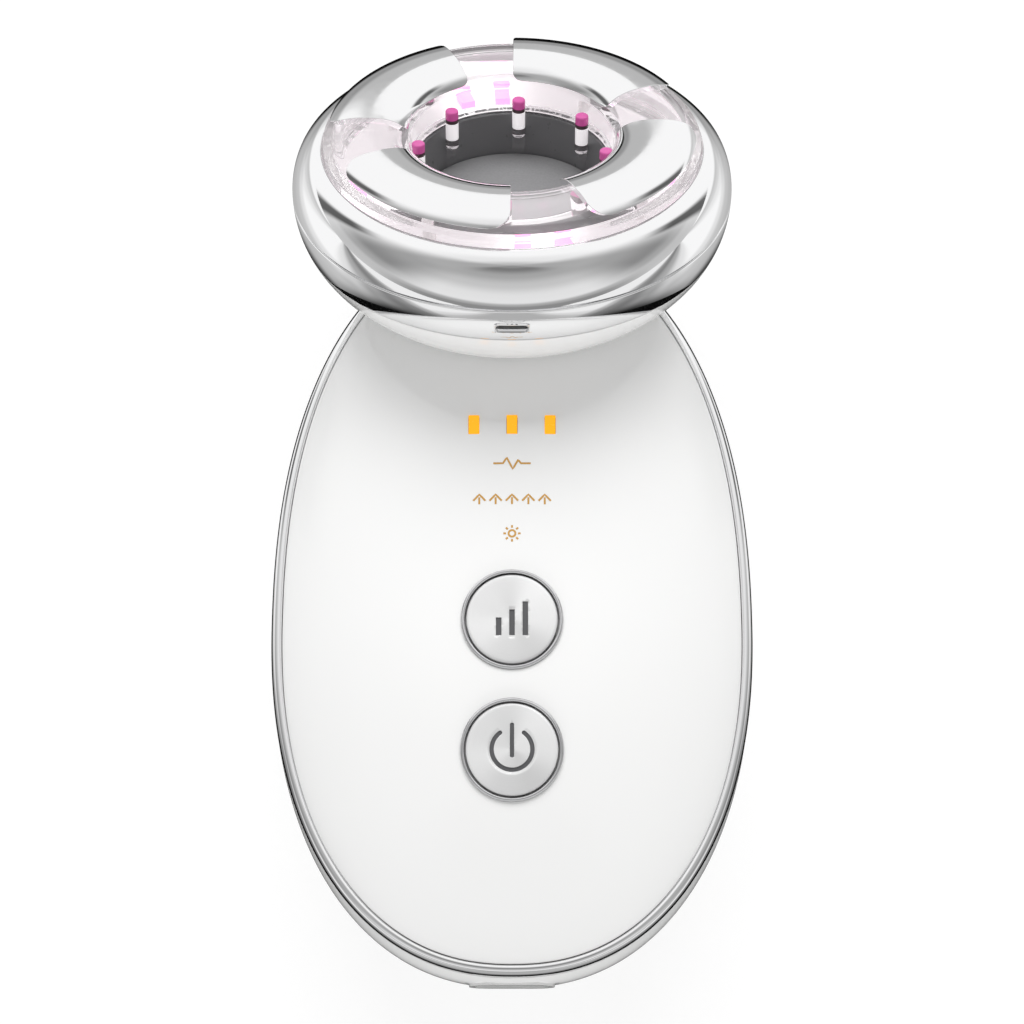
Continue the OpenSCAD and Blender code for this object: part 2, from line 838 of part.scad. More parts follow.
module pump_head() {
    color([0.15, 0.15, 0.16])
        difference() {
            union() {
                translate([pump_split_x, pump_y - pump_edge / 2, pump_z - pump_edge / 2])
                    cube([pump_edge, pump_edge, pump_edge]);
                translate([pump_split_x + pump_edge / 2, pump_y + pump_edge / 2, pump_z])
                    rotate([-90, 0, 0])
                        cylinder(h = nozzle_l, r = nozzle_r);
                translate([pump_split_x + pump_edge - 2.5, pump_y - pump_edge / 2, pump_z + 3.5])
                    rotate([90, 0, 0])
                        cylinder(h = bleed_l, r = nozzle_r);
            }
            along_x(pump_split_x - eps)
                cylinder(h = 2, r = shaft_r + shaft_gap);
            along_x(pump_split_x + cam_x - 1)
                cylinder(h = cam_t + 2, r = cam_r + throw + cam_room);
        }
}

// ---- Bleed valve: body with coil, sliding plunger ----

valve_w = 8;
valve_l = 13;
valve_x = 18;
valve_y = 0;
valve_z = 11.5;
valve_fit = 0.06;
plunger_l = 7;
plunger_out = 1.6;

module valve_body() {
    color([0.55, 0.56, 0.58])
        difference() {
            union() {
                translate([valve_x - valve_w / 2, valve_y - valve_l / 2, valve_z - valve_w / 2])
                    cube([valve_w, valve_l, valve_w]);
                translate([valve_x, valve_y + valve_l / 2, valve_z])
                    rotate([-90, 0, 0])
                        cylinder(h = bleed_l, r = nozzle_r);
            }
            translate([valve_x, valve_y - valve_l / 2 - eps, valve_z])
                rotate([-90, 0, 0])
                    cylinder(h = plunger_l - plunger_out + valve_travel + 0.3, r = plunger_r + valve_fit);
        }
}

module valve_plunger() {
    color([0.8, 0.8, 0.82])
        translate([valve_x, valve_y - valve_l / 2 - plunger_out, valve_z])
            rotate([-90, 0, 0])
                cylinder(h = plunger_l, r = plunger_r);
}

// ---- Hoses and cable ----

spout_l = 4.2;
cup_under = cup_floor + 1.5;
spout_end = -cup_under - spout_l;
hose_lead = 0.8 * hose_r;                      // straight piece of a hose at its nozzle
pump_out = [pump_split_x + pump_edge / 2, pump_y + pump_edge / 2 + nozzle_l, pump_z];
pump_bleed = [pump_split_x + pump_edge - 2.5, pump_y - pump_edge / 2 - bleed_l, pump_z + 3.5];
valve_in = [valve_x, valve_y + valve_l / 2 + bleed_l, valve_z];
suction_route = [
    from_head([0, 0, spout_end]),
    from_head([0, 0, spout_end - 2 * hose_lead]),
    from_head([0, 0, seat_top - seat_t - hose_lead]),
    (from_head([0, 0, neck_foot]) + pump_out) / 2 - [0, 0, 2 * hose_r],
    pump_out + [0, 2 * hose_lead, 0],
    pump_out
];
bleed_lead = 0.35 * (pump_bleed.y - valve_in.y); // how far the bleed hose keeps its heading
valve_route = [
    pump_bleed,
    pump_bleed - [0, bleed_lead, 0],
    (pump_bleed + valve_in) / 2,
    valve_in + [0, bleed_lead, 0],
    valve_in
];
cable_r = 0.9;
cable_foot_z = board_top + 0.9;
cable_x = core_r + 3;                          // where the cable climbs beside the core
cable_y = 3;
cable_neck_r = neck_r - neck_wall - cable_r - 1.1;
cable_door_t = -9.2;                           // height of the cable's hole in the core
plug_end = chips[6][0].y + chips[6][1].y / 2;
cable_route = [
    [0, plug_end, cable_foot_z],
    [0, plug_end + 2.4, cable_foot_z],
    [-3, plug_end + 4.8, cable_foot_z - 4.4],
    from_head([-cable_neck_r + 1.4, -cable_y - 1, neck_foot - 2]),
    from_head([-cable_neck_r + 0.8, -cable_y - 0.6, neck_foot + 3]),
    from_head([-cable_neck_r - 0.2, -cable_y, bowl_floor + 0.9]),
    from_head([-core_r + 4.4, -cable_y, cable_door_t - 0.6]),
    from_head([-core_r, -cable_y, cable_door_t + 0.2]),
    from_head([-cable_x + 0.4, -cable_y, cable_door_t + 1.7]),
    from_head([-cable_x, -cable_y, cable_door_t / 2]),
    from_head([-cable_x, -cable_y, core_flange_foot]),
    from_head([-cable_x, -cable_y, core_top])
];

module suction_hose() {
    color([0.85, 0.85, 0.84])
        swept_tube(cut_corners(suction_route, 2), hose_r);
}

module valve_hose() {
    color([0.85, 0.85, 0.84])
        swept_tube(cut_corners(valve_route, 2), hose_r);
}

module head_cable() {
    color([0.2, 0.2, 0.21])
        swept_tube(cut_corners(cable_route, 2), cable_r);
}

// ---- Charging socket ----

socket_skin = 0.3;
tongue = [6.6, 0.7, 4.5];
socket_board_edge = 12;

module charging_socket() {
    back_y = socket_mouth_y + port_depth;
    color([0.75, 0.75, 0.77]) {
        difference() {
            flat_slot(port_w, port_h, socket_mouth_y, back_y);
            flat_slot(port_w - 2 * socket_skin, port_h - 2 * socket_skin, socket_mouth_y - 1, back_y - 1);
        }
        translate([-tongue.x / 2, back_y - 1 - tongue.z, port_z - tongue.y / 2])
            cube([tongue.x, tongue.z + eps, tongue.y]);
    }
}

module charging_board() {
    color([0.1, 0.35, 0.2])
        translate([-socket_board_edge / 2, board_low_y, board_rest_z])
            cube([socket_board_edge, socket_board_edge, board_t]);
}

module socket_trim() {
    face_y = -(handle_low + end_swell - 0.15);
    color([0.55, 0.55, 0.56])
        difference() {
            flat_slot(port_w + 2 * trim_w, port_h + 2 * trim_w, face_y, face_y + 2.2);
            flat_slot(port_w + 2 * fit, port_h + 2 * fit, face_y - 1, face_y + 4);
        }
}

// ---- Head: bowl, chrome rings, core ----

// Slot through the band and the bowl's spigot behind it
module vent() {
    translate([0, -inner_wall_r + ring_band_t, vent_t])
        rotate([90, 0, 0]) {
            for (x = [-1, 1])
                translate([x * (vent_w - vent_h) / 2, 0, 0])
                    cylinder(h = 3 * ring_band_t, d = vent_h);
            translate([-(vent_w - vent_h) / 2, -vent_h / 2, 0])
                cube([vent_w - vent_h, vent_h, 3 * ring_band_t]);
        }
}

module head_bowl() {
    spigot_r = inner_wall_r - fit;
    color(white_tone)
        at_head()
            difference() {
                rotate_extrude()
                    polygon(concat(
                        [[neck_r - neck_wall, neck_foot], [neck_r, neck_foot], [neck_r, -bowl_base]],
                        under_curve(-bowl_base, -band_h),
                        [[spigot_r, -band_h], [spigot_r, core_flange_foot], [spigot_r - 1.5, core_flange_foot]],
                        [for (i = [0 : under_steps])
                            let (t = -band_h + (bowl_floor + band_h) * i / under_steps)
                            [min(under_r(t) - bowl_wall, spigot_r - 1.5), t]],
                        [[neck_r - neck_wall, bowl_floor]]
                    ));
                for (k = [0 : 2])
                    rotate([0, 0, core_screw_turn + 120 * k])
                        translate([core_screw_place_r, 0, bowl_floor - 1.2])
                            cylinder(h = 2, r = core_screw_r - 0.1);
                vent();
            }
}

module neck_nut() {
    color([0.8, 0.8, 0.79])
        at_head()
            translate([0, 0, seat_top - seat_t - nut_t])
                difference() {
                    cylinder(h = nut_t, r = nut_r);
                    translate([0, 0, -eps])
                        cylinder(h = nut_t + 2 * eps, r = neck_r + fit);
                }
}

module lower_band() {
    color(chrome_tone)
        at_head()
            difference() {
                rotate_extrude()
                    polygon(concat(
                        [[inner_wall_r, -band_h]],
                        under_curve(-band_h, -seam),
                        [[inner_wall_r, -seam]]
                    ));
                vent();
            }
}

module shoulder_ring() {
    lip_r0 = ring_wall_r + 0.15;
    flare = [
        for (i = [0 : under_steps])
            let (t = shoulder_h * cos(90 * i / under_steps))
            [lip_r0 + (head_r - lip_r0) * sqrt(1 - pow(t / shoulder_h, 2)), t]
    ];
    color(chrome_tone)
        at_head()
            rotate_extrude()
                polygon(concat(
                    [[lip_r0, shoulder_h - 1.2]],
                    flare,
                    [[inner_wall_r, 0], [inner_wall_r, shoulder_h - 1.8]]
                ));
}

module head_core() {
    rim_r = inner_wall_r - fit;
    color([0.9, 0.9, 0.89])
        at_head()
            difference() {
                rotate_extrude()
                    polygon([
                        [core_bore_r, bowl_floor],
                        [core_foot_r, bowl_floor],
                        [core_foot_r, bowl_floor + core_foot_t],
                        [core_r, bowl_floor + core_foot_t],
                        [core_r, core_flange_foot],
                        [rim_r, core_flange_foot],
                        [rim_r, -seam],
                        [inner_wall_r + 1.4, -seam],
                        [inner_wall_r + 1.4, 0],
                        [rim_r, 0],
                        [rim_r, core_top],
                        [core_bore_r, core_top]
                    ]);
                for (k = [0 : 2])
                    rotate([0, 0, core_screw_turn + 120 * k])
                        translate([core_screw_place_r, 0, bowl_floor - eps])
                            cylinder(h = core_foot_t + 2 * eps, r = core_screw_r + fit);
                translate([-core_r - 1, -cable_y, cable_door_t])
                    rotate([0, 90, 0])
                        cylinder(h = core_wall + 2, r = cable_r + 0.5);
                translate([-cable_x, -cable_y, core_flange_foot - 1])
                    cylinder(h = core_top - core_flange_foot + 2, r = cable_r + 0.1);
            }
}

module head_screws() {
    color([0.7, 0.7, 0.72])
        at_head()
            for (k = [0 : 2])
                rotate([0, 0, core_screw_turn + 120 * k])
                    translate([core_screw_place_r, 0, 0]) {
                        translate([0, 0, bowl_floor - 1])
                            cylinder(h = core_foot_t + 1, r = core_screw_r - 0.15);
                        translate([0, 0, bowl_floor + core_foot_t])
                            cylinder(h = 0.8, r = 0.75);
                    }
}

// ---- Head: lights, light ring, electrodes ----

led_board_r0 = core_r + 0.2;
led_board_r1 = ring_wall_r - ring_wall - 0.4;
led_board_top = core_top + board_t;
led_edge = 2;
post_count = 8;
ring_led_spread = 8;                           // angle of a ring LED from the middle of its gap
ring_foot_t = 1.2;
ring_roof = 6.8;
inner_leg_foot = cup_mouth + 0.4;
inner_leg_r = cup_mouth_r + 2.05;
stud_turns = [for (k = [0 : 3]) electrode_turn + 90 * k];

module led_board() {
    color([0.93, 0.93, 0.92])
        at_head()
            translate([0, 0, core_top])
                difference() {
                    cylinder(h = board_t, r = led_board_r1);
                    translate([0, 0, -eps])
                        cylinder(h = board_t + 2 * eps, r = led_board_r0);
                }
}

module ring_leds() {
    color([0.9, 0.45, 0.75])
        at_head()
            for (k = [0 : 3], side = [-1, 1])
                rotate([0, 0, electrode_turn - 45 + 90 * k + side * ring_led_spread])
                    translate([crown_mid_r - led_edge / 2, -led_edge / 2, led_board_top])
                        cube([led_edge, led_edge, led_edge * 0.4]);
}

module led_post_shapes(r, z0, z1) {
    for (k = [0 : post_count - 1])
        rotate([0, 0, post_turn + 360 * k / post_count])
            translate([post_place_r, 0, z0])
                cylinder(h = z1 - z0, r = r);
}

module led_posts() {
    color([0.95, 0.6, 0.85])
        at_head()
            led_post_shapes(post_r, 0, post_top);
}

module light_ring() {
    color([0.93, 0.92, 0.95, 0.5])
        at_head()
            difference() {
                rotate_extrude()
                    polygon(concat(
                        [
                            [ring_wall_r - ring_wall, core_top],
                            [ring_foot_r, core_top],
                            [ring_foot_r, core_top + ring_foot_t],
                            [ring_wall_r, core_top + ring_foot_t],
                            [ring_wall_r, crown_foot + 0.6]
                        ],
                        crown_curve(electrode_t, 12, 168),
                        [
                            [crown_inner_r, crown_foot + 0.2],
                            [cup_mouth_r, inner_leg_foot],
                            [inner_leg_r, inner_leg_foot],
                            [inner_leg_r, ring_roof],
                            [ring_wall_r - ring_wall, ring_roof]
                        ]
                    ));
                led_post_shapes(post_r + fit, 0, post_top + 0.3);
                for (a = stud_turns)
                    rotate([0, 0, a])
                        translate([crown_mid_r, 0, led_board_top])
                            cylinder(h = crown_foot + crown_h, r = stud_r + fit);
            }
}

module electrode(a) {
    color(chrome_tone)
        at_head()
            rotate([0, 0, a - electrode_span / 2])
                rotate_extrude(angle = electrode_span)
                    polygon(concat(
                        crown_curve(0, electrode_outer_angle, electrode_inner_angle),
                        [for (i = [crown_steps : -1 : 0])
                            crown_curve(electrode_t, electrode_outer_angle, electrode_inner_angle)[i]]
                    ));
}

module contact_studs() {
    color([0.85, 0.7, 0.35])
        at_head()
            for (a = stud_turns)
                rotate([0, 0, a])
                    translate([crown_mid_r, 0, led_board_top])
                        cylinder(h = crown_foot + crown_h - electrode_t - led_board_top - fit, r = stud_r);
}

// ---- Suction cup ----

cup_ledge_t = 1;
module suction_cup() {
    color([0.3, 0.3, 0.3])
        at_head()
            difference() {
                rotate_extrude()
                    polygon([
                        [suction_bore_r, -cup_floor],
                        [suction_bore_r, spout_end],
                        [suction_bore_r + 0.7, spout_end],
                        [suction_bore_r + 0.7, -cup_under],
                        [cup_outer_r, -cup_under],
                        [cup_outer_r, core_top],
                        [core_r, core_top],
                        [core_r, core_top + cup_ledge_t],
                        [cup_outer_r + 0.2, core_top + cup_ledge_t],
                        [cup_outer_r + 0.2, cup_mouth],
                        [cup_mouth_r, cup_mouth],
                        [cup_floor_r, -cup_floor]
                    ]);
                led_post_shapes(post_r + fit, 0, post_top);
            }
}

module cup_gasket() {
    color([0.5, 0.5, 0.5])
        at_head()
            translate([0, 0, cup_mouth])
                difference() {
                    cylinder(h = inner_leg_foot - cup_mouth, r = cup_outer_r + 0.2);
                    translate([0, 0, -eps])
                        cylinder(h = 1, r = post_place_r + post_r + 0.15);
                }
}

module filter_pad() {
    color([0.5, 0.5, 0.51])
        at_head()
            translate([0, 0, -cup_floor])
                cylinder(h = filter_t, r = cup_floor_r - 0.15);
}

rear_shell();
bezel();
front_panel();
button_ring(mode_y);  // mode_ring
button_ring(power_y);  // power_ring
mode_cap();
power_cap();
switch_body(mode_y);  // mode_switch
switch_body(power_y);  // power_switch
switch_pin(mode_y);  // mode_plunger
switch_pin(power_y);  // power_plunger
indicator_guides();
indicator_leds();
main_board();
board_chips();
inner_frame();
frame_screws();
battery();
battery_pad();
pump_motor();
pump_rotor();
pump_head();
valve_body();
valve_plunger();
suction_hose();
valve_hose();
head_cable();
charging_socket();
charging_board();
socket_trim();
head_bowl();
neck_nut();
lower_band();
shoulder_ring();
head_core();
head_screws();
led_board();
ring_leds();
led_posts();
light_ring();
electrode(stud_turns[0]);  // electrode_back_right
electrode(stud_turns[1]);  // electrode_back_left
electrode(stud_turns[2]);  // electrode_front_left
electrode(stud_turns[3]);  // electrode_front_right
contact_studs();
suction_cup();
cup_gasket();
filter_pad();
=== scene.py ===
"""Looks of the facial toning device: smooth shells, plated rings, clear light ring and finishes.

Sizes are in millimetres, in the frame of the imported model, and become metres when a mesh is made.
"""
import math

import bmesh
import bpy
from mathutils import Matrix, Vector


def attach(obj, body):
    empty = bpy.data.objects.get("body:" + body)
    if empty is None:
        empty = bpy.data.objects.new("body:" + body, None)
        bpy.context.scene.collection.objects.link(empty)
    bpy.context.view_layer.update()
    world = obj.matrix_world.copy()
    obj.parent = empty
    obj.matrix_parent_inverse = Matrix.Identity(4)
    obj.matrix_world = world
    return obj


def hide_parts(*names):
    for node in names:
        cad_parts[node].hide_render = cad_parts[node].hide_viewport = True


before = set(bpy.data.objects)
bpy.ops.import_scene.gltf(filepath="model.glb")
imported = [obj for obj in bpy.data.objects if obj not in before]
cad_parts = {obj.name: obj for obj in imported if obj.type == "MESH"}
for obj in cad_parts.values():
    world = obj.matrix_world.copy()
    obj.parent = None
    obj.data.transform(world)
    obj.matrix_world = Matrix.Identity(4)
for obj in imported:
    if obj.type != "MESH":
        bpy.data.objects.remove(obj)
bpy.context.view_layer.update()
scene = bpy.context.scene

MM = 0.001

# ---- Sizes of the handle ----

HANDLE_HALF_W = 29.55
HANDLE_LOW = 43.5
HANDLE_TOP = 51.5
OUTLINE_POWER = 2.25
RIM_Z = 25.0
SHELL_WALL = 1.8
SIDE_SWELL = 0.45
END_SWELL = 0.8
SWELL_Z = 18.0
FLAT_HALF_W = 15.0
FLAT_LOW = 26.0
FLAT_TOP = 36.0
HEEL_REACH = 11.0
HEEL_Z = 10.5
HEEL_ROUNDNESS = 2.0
HEEL_POWER = 1.6
BEZEL_W = 1.25
BEZEL_H = 3.6
BEZEL_ROUND = 0.85
BEZEL_FALL = 1.6
BEZEL_SWELL = 0.15
LEDGE_W = 3.0
PANEL_CROWN = 6.5
PANEL_T = 1.8
CROWN_FLATNESS = 2.3
EDGE_SOFTNESS = 0.8
PANEL_SUNK = 0.15
PANEL_GAP = 0.1
BEZEL_FOOT = RIM_Z - BEZEL_H
PANEL_EDGE_Z = RIM_Z - PANEL_SUNK
PANEL_SIZE = (
    HANDLE_HALF_W - BEZEL_W - PANEL_GAP,
    HANDLE_LOW - BEZEL_W - PANEL_GAP,
    HANDLE_TOP - BEZEL_W - PANEL_GAP,
)
LEDGE_Z = PANEL_EDGE_Z - PANEL_T

# ---- Sizes of the buttons and indicators ----

MODE_Y = -1.95
POWER_Y = -17.7
CAP_R = 5.5
CAP_GAP = 0.2
RING_FACE = 0.45
RING_R = CAP_R + CAP_GAP + RING_FACE
RING_RISE = 0.3
RING_SUNK = 0.2
CAP_RISE = 0.45
CAP_DISH = 0.25
SYMBOL_DEPTH = 0.15
POWER_STROKE = 0.52
POWER_SIGN_R = 2.42
POWER_OPENING = 36.0
POWER_BAR_FOOT = -1.0
POWER_BAR_TOP = 3.15
MODE_STROKE = 0.66
MODE_PITCH = 1.6
MODE_FOOT = -2.1
MODE_FIRST_H = 2.2
MODE_STEP = 1.0
SLEEVE_R = RING_R - 0.15
SLEEVE_DEPTH = 2.0
LIP_R = SLEEVE_R + 0.15
LIP_T = 0.85
LIP_GAP = 0.15
STEM_R = 1.4
STEM_L = 0.5
CAP_FOOT = SLEEVE_DEPTH + LIP_GAP + LIP_T
INDICATOR_Y = 23.1
INDICATOR_PITCH = 4.72
INDICATOR_W = 1.3
INDICATOR_L = 2.46
FIT = 0.05
PRINT_ROWS = (17.9, 13.3, 8.8)
PRINT_H = 1.5
PRINT_STROKE = 0.24
SUN_R = 0.42
RAY_FOOT = 0.72
RAY_TIP = 1.05

# ---- Sizes of the charging socket ----

PORT_Z = 17.5
PORT_W = 8.94
PORT_H = 3.26
TRIM_W = 0.7

# ---- Sizes of the head, in its own frame: radius and height along its axis ----

HEAD_Y = 55.4
HEAD_RISE = 6.0
HEAD_TILT = 33.0
HEAD_R = 27.95
UNDER_DEPTH = 17.8
UNDER_POWER = 2.1
BAND_H = 5.2
SEAM = 0.3
BOWL_BASE = 14.8
BOWL_WALL = 1.7
BOWL_GAP = 0.15
NECK_R = 10.0
NECK_WALL = 1.6
SHOULDER_H = 6.0
VENT_W = 4.0
VENT_H = 1.2
VENT_T = -3.1
CROWN_MID_R = 18.3
CROWN_HALF_W = 5.3
CROWN_H = 3.05
CROWN_FOOT = 6.5
CROWN_POWER = 2.4
RING_WALL_R = 23.8
RING_WALL = 1.5
CROWN_WALL = 1.0
ELECTRODE_T = 0.8
ELECTRODE_SPAN = 64.6
ELECTRODE_TURN = 57.2
ELECTRODE_OUTER_ANGLE = 26.0
ELECTRODE_INNER_ANGLE = 166.0
ELECTRODE_CORNER = 2.6
ELECTRODE_INNER_CORNER = 1.1
CUP_MOUTH_R = 12.35
CUP_FLOOR_R = 12.05
CUP_MOUTH = 3.0
CUP_FLOOR = 3.3
CUP_WALL = 1.4
POST_R = 0.85
POST_PLACE_R = 11.9
POST_TOP = 5.5
POST_TURN = -4.2
POST_COUNT = 8
CORE_TOP = 0.65
CORE_R = 15.0
CORE_FLANGE_FOOT = -1.2
INNER_WALL_R = 25.2
BOWL_FLOOR = -BOWL_BASE + 1.8
SEAT_TOP = -BOWL_BASE - BOWL_GAP
SEAT_T = 2.0
NECK_FOOT = SEAT_TOP - SEAT_T - 2.2

AROUND = 240  # points round a smooth outline

HEAD_MIDDLE = Matrix.Translation((0, HEAD_Y, RIM_Z + HEAD_RISE))
HEAD = HEAD_MIDDLE @ Matrix.Rotation(math.radians(-HEAD_TILT), 4, "X")


# ---- Meshes ----


def make_object(name, points, faces, sharp=30.0, matrix=None):
    """A smooth-shaded mesh object from points in millimetres, moved by matrix."""
    placed = [(matrix @ Vector(p)) * MM if matrix else Vector(p) * MM for p in points]
    mesh = bpy.data.meshes.new(name)
    mesh.from_pydata(placed, [], faces)
    work = bmesh.new()
    work.from_mesh(mesh)
    bmesh.ops.remove_doubles(work, verts=work.verts, dist=1e-7)
    bmesh.ops.recalc_face_normals(work, faces=work.faces)
    work.to_mesh(mesh)
    work.free()
    mesh.shade_smooth()
    mesh.set_sharp_from_angle(angle=math.radians(sharp))
    made = bpy.data.objects.new(name, mesh)
    scene.collection.objects.link(made)
    return made


def grid_faces(rows, columns, wrap_rows=False, wrap_columns=True):
    """Quads over a grid of points that is stored row by row."""
    faces = []
    for k in range(rows if wrap_rows else rows - 1):
        for i in range(columns if wrap_columns else columns - 1):
            j, m = (i + 1) % columns, (k + 1) % rows
            faces.append((k * columns + i, k * columns + j, m * columns + j, m * columns + i))
    return faces


def loft(name, rings, closed=False, **options):
    """A skin over rings of points, closed on itself or with a flat cap at each end."""
    count = len(rings[0])
    faces = grid_faces(len(rings), count, wrap_rows=closed)
    if not closed:
        last = (len(rings) - 1) * count
        faces.append(tuple(range(count)))
        faces.append(tuple(range(last, last + count)))
    return make_object(name, [p for ring in rings for p in ring], faces, **options)


def revolve(name, profile, matrix, turns=AROUND, **options):
    """A solid of revolution about the local Z axis from a closed profile of (radius, height)."""
    rings = [
        [
            (r * math.cos(a), r * math.sin(a), t)
            for a in (2 * math.pi * i / turns for i in range(turns))
        ]
        for r, t in profile
    ]
    return loft(name, rings, closed=True, matrix=matrix, **options)


def softened(corners, steps=5):
    """A closed profile of (radius, height) from corners (radius, height, rounding)."""
    out = []
    for k, (x, y, rounding) in enumerate(corners):
        here = Vector((x, y))
        before = Vector(corners[k - 1][:2]) - here
        after = Vector(corners[(k + 1) % len(corners)][:2]) - here
        if rounding == 0:
            out.append((x, y))
            continue
        start = here + before.normalized() * min(rounding, before.length * 0.45)
        end = here + after.normalized() * min(rounding, after.length * 0.45)
        for i in range(steps + 1):
            s = i / steps
            point = start * (1 - s) ** 2 + here * 2 * s * (1 - s) + end * s**2
            out.append((point.x, point.y))
    return out


def plain(points):
    """Profile points with no rounding."""
    return [(x, y, 0) for x, y in points]


def prism(name, outline_points, low, high, matrix=None):
    """An outline of (x, y) drawn up from one height to another."""
    return loft(name, [[(x, y, z) for x, y in outline_points] for z in (low, high)], matrix=matrix)


def slot_outline(width, height, steps=16):
    """A slot with round ends, centred on the origin."""
    radius = height / 2
    out = []
    for side in (1, -1):
        for i in range(steps + 1):
            a = math.pi * (i / steps - 0.5) + (math.pi if side < 0 else 0)
            out.append((side * (width / 2 - radius) + radius * math.cos(a), radius * math.sin(a)))
    return out


def cut(piece, *tools):
    """Takes the tools' volume out of a piece, for good."""
    for tool in tools:
        modifier = piece.modifiers.new("cut", "BOOLEAN")
        modifier.operation = "DIFFERENCE"
        modifier.solver = "EXACT"
        modifier.object = tool
    bpy.context.view_layer.update()
    done = bpy.data.meshes.new_from_object(piece.evaluated_get(bpy.context.evaluated_depsgraph_get()))
    piece.modifiers.clear()
    piece.data = done
    for tool in tools:
        bpy.data.objects.remove(tool)


def bevel(piece, width, segments=3, angle=40.0):
    """A small rounding on every edge sharper than the angle."""
    modifier = piece.modifiers.new("bevel", "BEVEL")
    modifier.width = width * MM
    modifier.segments = segments
    modifier.limit_method = "ANGLE"
    modifier.angle_limit = math.radians(angle)
    modifier.harden_normals = True


def place(piece, material, body, slot, *nodes):
    """Gives a piece its material, its body and the nodes that it stands for."""
    piece.data.materials.clear()
    piece.data.materials.append(material)
    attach(piece, body)
    if nodes:
        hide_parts(*nodes)
    return piece


# ---- Curves of the handle ----


def rounded(angle, power):
    """Point of a rounded curve with half axes of 1."""
    c, s = math.cos(angle), math.sin(angle)
    return (
        math.copysign(abs(c) ** (2 / power), c),
        math.copysign(abs(s) ** (2 / power), s),
    )


def outline(half_w, low, top, z, top_power=OUTLINE_POWER, count=AROUND):
    """The handle's outline at height z."""
    out = []
    for i in range(count):
        x, y = rounded(2 * math.pi * i / count, top_power if i < count / 2 else OUTLINE_POWER)
        out.append((half_w * x, (low if y < 0 else top) * y, z))
    return out


def swelling(z, full_z, power):
    """Share of the way from the flat to the widest level."""
    return (1 - (max(full_z - z, 0) / full_z) ** power) ** (1 / power)


def shell_ring(z, inset):
    """Outline of the rear shell at height z, drawn in by inset."""
    level = max(z - inset, 0)
    if level < SWELL_Z:
        share = swelling(level, SWELL_Z, 2)
        half_w = FLAT_HALF_W + (HANDLE_HALF_W + SIDE_SWELL - FLAT_HALF_W) * share
        low = FLAT_LOW + (HANDLE_LOW + END_SWELL - FLAT_LOW) * share
    else:
        share = math.cos(math.pi / 2 * (level - SWELL_Z) / (BEZEL_FOOT - SWELL_Z))
        half_w = HANDLE_HALF_W + SIDE_SWELL * share
        low = HANDLE_LOW + END_SWELL * share
    heel = (1 + math.cos(math.pi * (max(level, HEEL_Z) - HEEL_Z) / (BEZEL_FOOT - HEEL_Z))) / 2
    if level < HEEL_Z:
        top = FLAT_TOP + (HANDLE_TOP + HEEL_REACH - FLAT_TOP) * swelling(level, HEEL_Z, HEEL_POWER)
    else:
        top = HANDLE_TOP + HEEL_REACH * heel
    power = OUTLINE_POWER - (OUTLINE_POWER - HEEL_ROUNDNESS) * heel
    return outline(half_w - inset, low - inset, top - inset, z, power)


def panel_height(share):
    """Height of the panel's face at a share of the way to its edge."""
    return PANEL_EDGE_Z + PANEL_CROWN * max(1 - share**CROWN_FLATNESS, 0) ** EDGE_SOFTNESS


def panel_z(x, y):
    """Height of the panel's face over a point."""
    half_w, low, top = PANEL_SIZE
    reach = (abs(x) / half_w) ** OUTLINE_POWER + (abs(y) / (low if y < 0 else top)) ** OUTLINE_POWER
    return panel_height(min(reach ** (1 / OUTLINE_POWER), 1))


def button_frame(y):
    """Frame on the panel's face, with Z square to it."""
    lean = math.atan((panel_z(0, y + 0.1) - panel_z(0, y - 0.1)) / 0.2)
    return Matrix.Translation((0, y, panel_z(0, y))) @ Matrix.Rotation(lean, 4, "X")


# ---- Curves of the head ----


def under_r(t):
    """Radius of the head's underside at height t, below the widest level."""
    return HEAD_R * (1 - (-t / UNDER_DEPTH) ** UNDER_POWER) ** (1 / UNDER_POWER)


def under_curve(t0, t1, grow=0.0, steps=28):
    """Points down the head's underside."""
    heights = [t0 + (t1 - t0) * i / steps for i in range(steps + 1)]
    return [(under_r(t) + grow, t) for t in heights]


def crown_point(angle, inset=0.0):
    """Point of the crown's section at an angle in degrees."""
    x, y = rounded(math.radians(angle), CROWN_POWER)
    return CROWN_MID_R + (CROWN_HALF_W - inset) * x, CROWN_FOOT + (CROWN_H - inset) * y


def head_room():
    """Solid that everything of the handle gives way to."""
    profile = [(0, SEAT_TOP)]
    profile += [(r, t if t > -BOWL_BASE else SEAT_TOP) for r, t in under_curve(-BOWL_BASE, 0, BOWL_GAP)]
    profile += [(HEAD_R + BOWL_GAP, HEAD_R), (0, HEAD_R)]
    return revolve("head_room", profile, HEAD)


# ---- Materials ----


def math_node(tree, operation, *values):
    """A Math node over sockets or numbers; returns its output."""
    node = tree.nodes.new("ShaderNodeMath")
    node.operation = operation
    for socket, value in zip(node.inputs, values):
        if isinstance(value, (int, float)):
            socket.default_value = value
        else:
            tree.links.new(value, socket)
    return node.outputs[0]


def axes_node(tree, space):
    """The three coordinates of a point in a space of the Texture Coordinate node."""
    place_node = tree.nodes.new("ShaderNodeTexCoord")
    split = tree.nodes.new("ShaderNodeSeparateXYZ")
    tree.links.new(place_node.outputs[space], split.inputs[0])
    return split.outputs


def noise_node(tree, grain, detail):
    """Cloudy noise over the object; returns its output."""
    place_node = tree.nodes.new("ShaderNodeTexCoord")
    cloud = tree.nodes.new("ShaderNodeTexNoise")
    cloud.inputs["Scale"].default_value = grain
    cloud.inputs["Detail"].default_value = detail
    tree.links.new(place_node.outputs["Object"], cloud.inputs["Vector"])
    return cloud.outputs["Fac"]


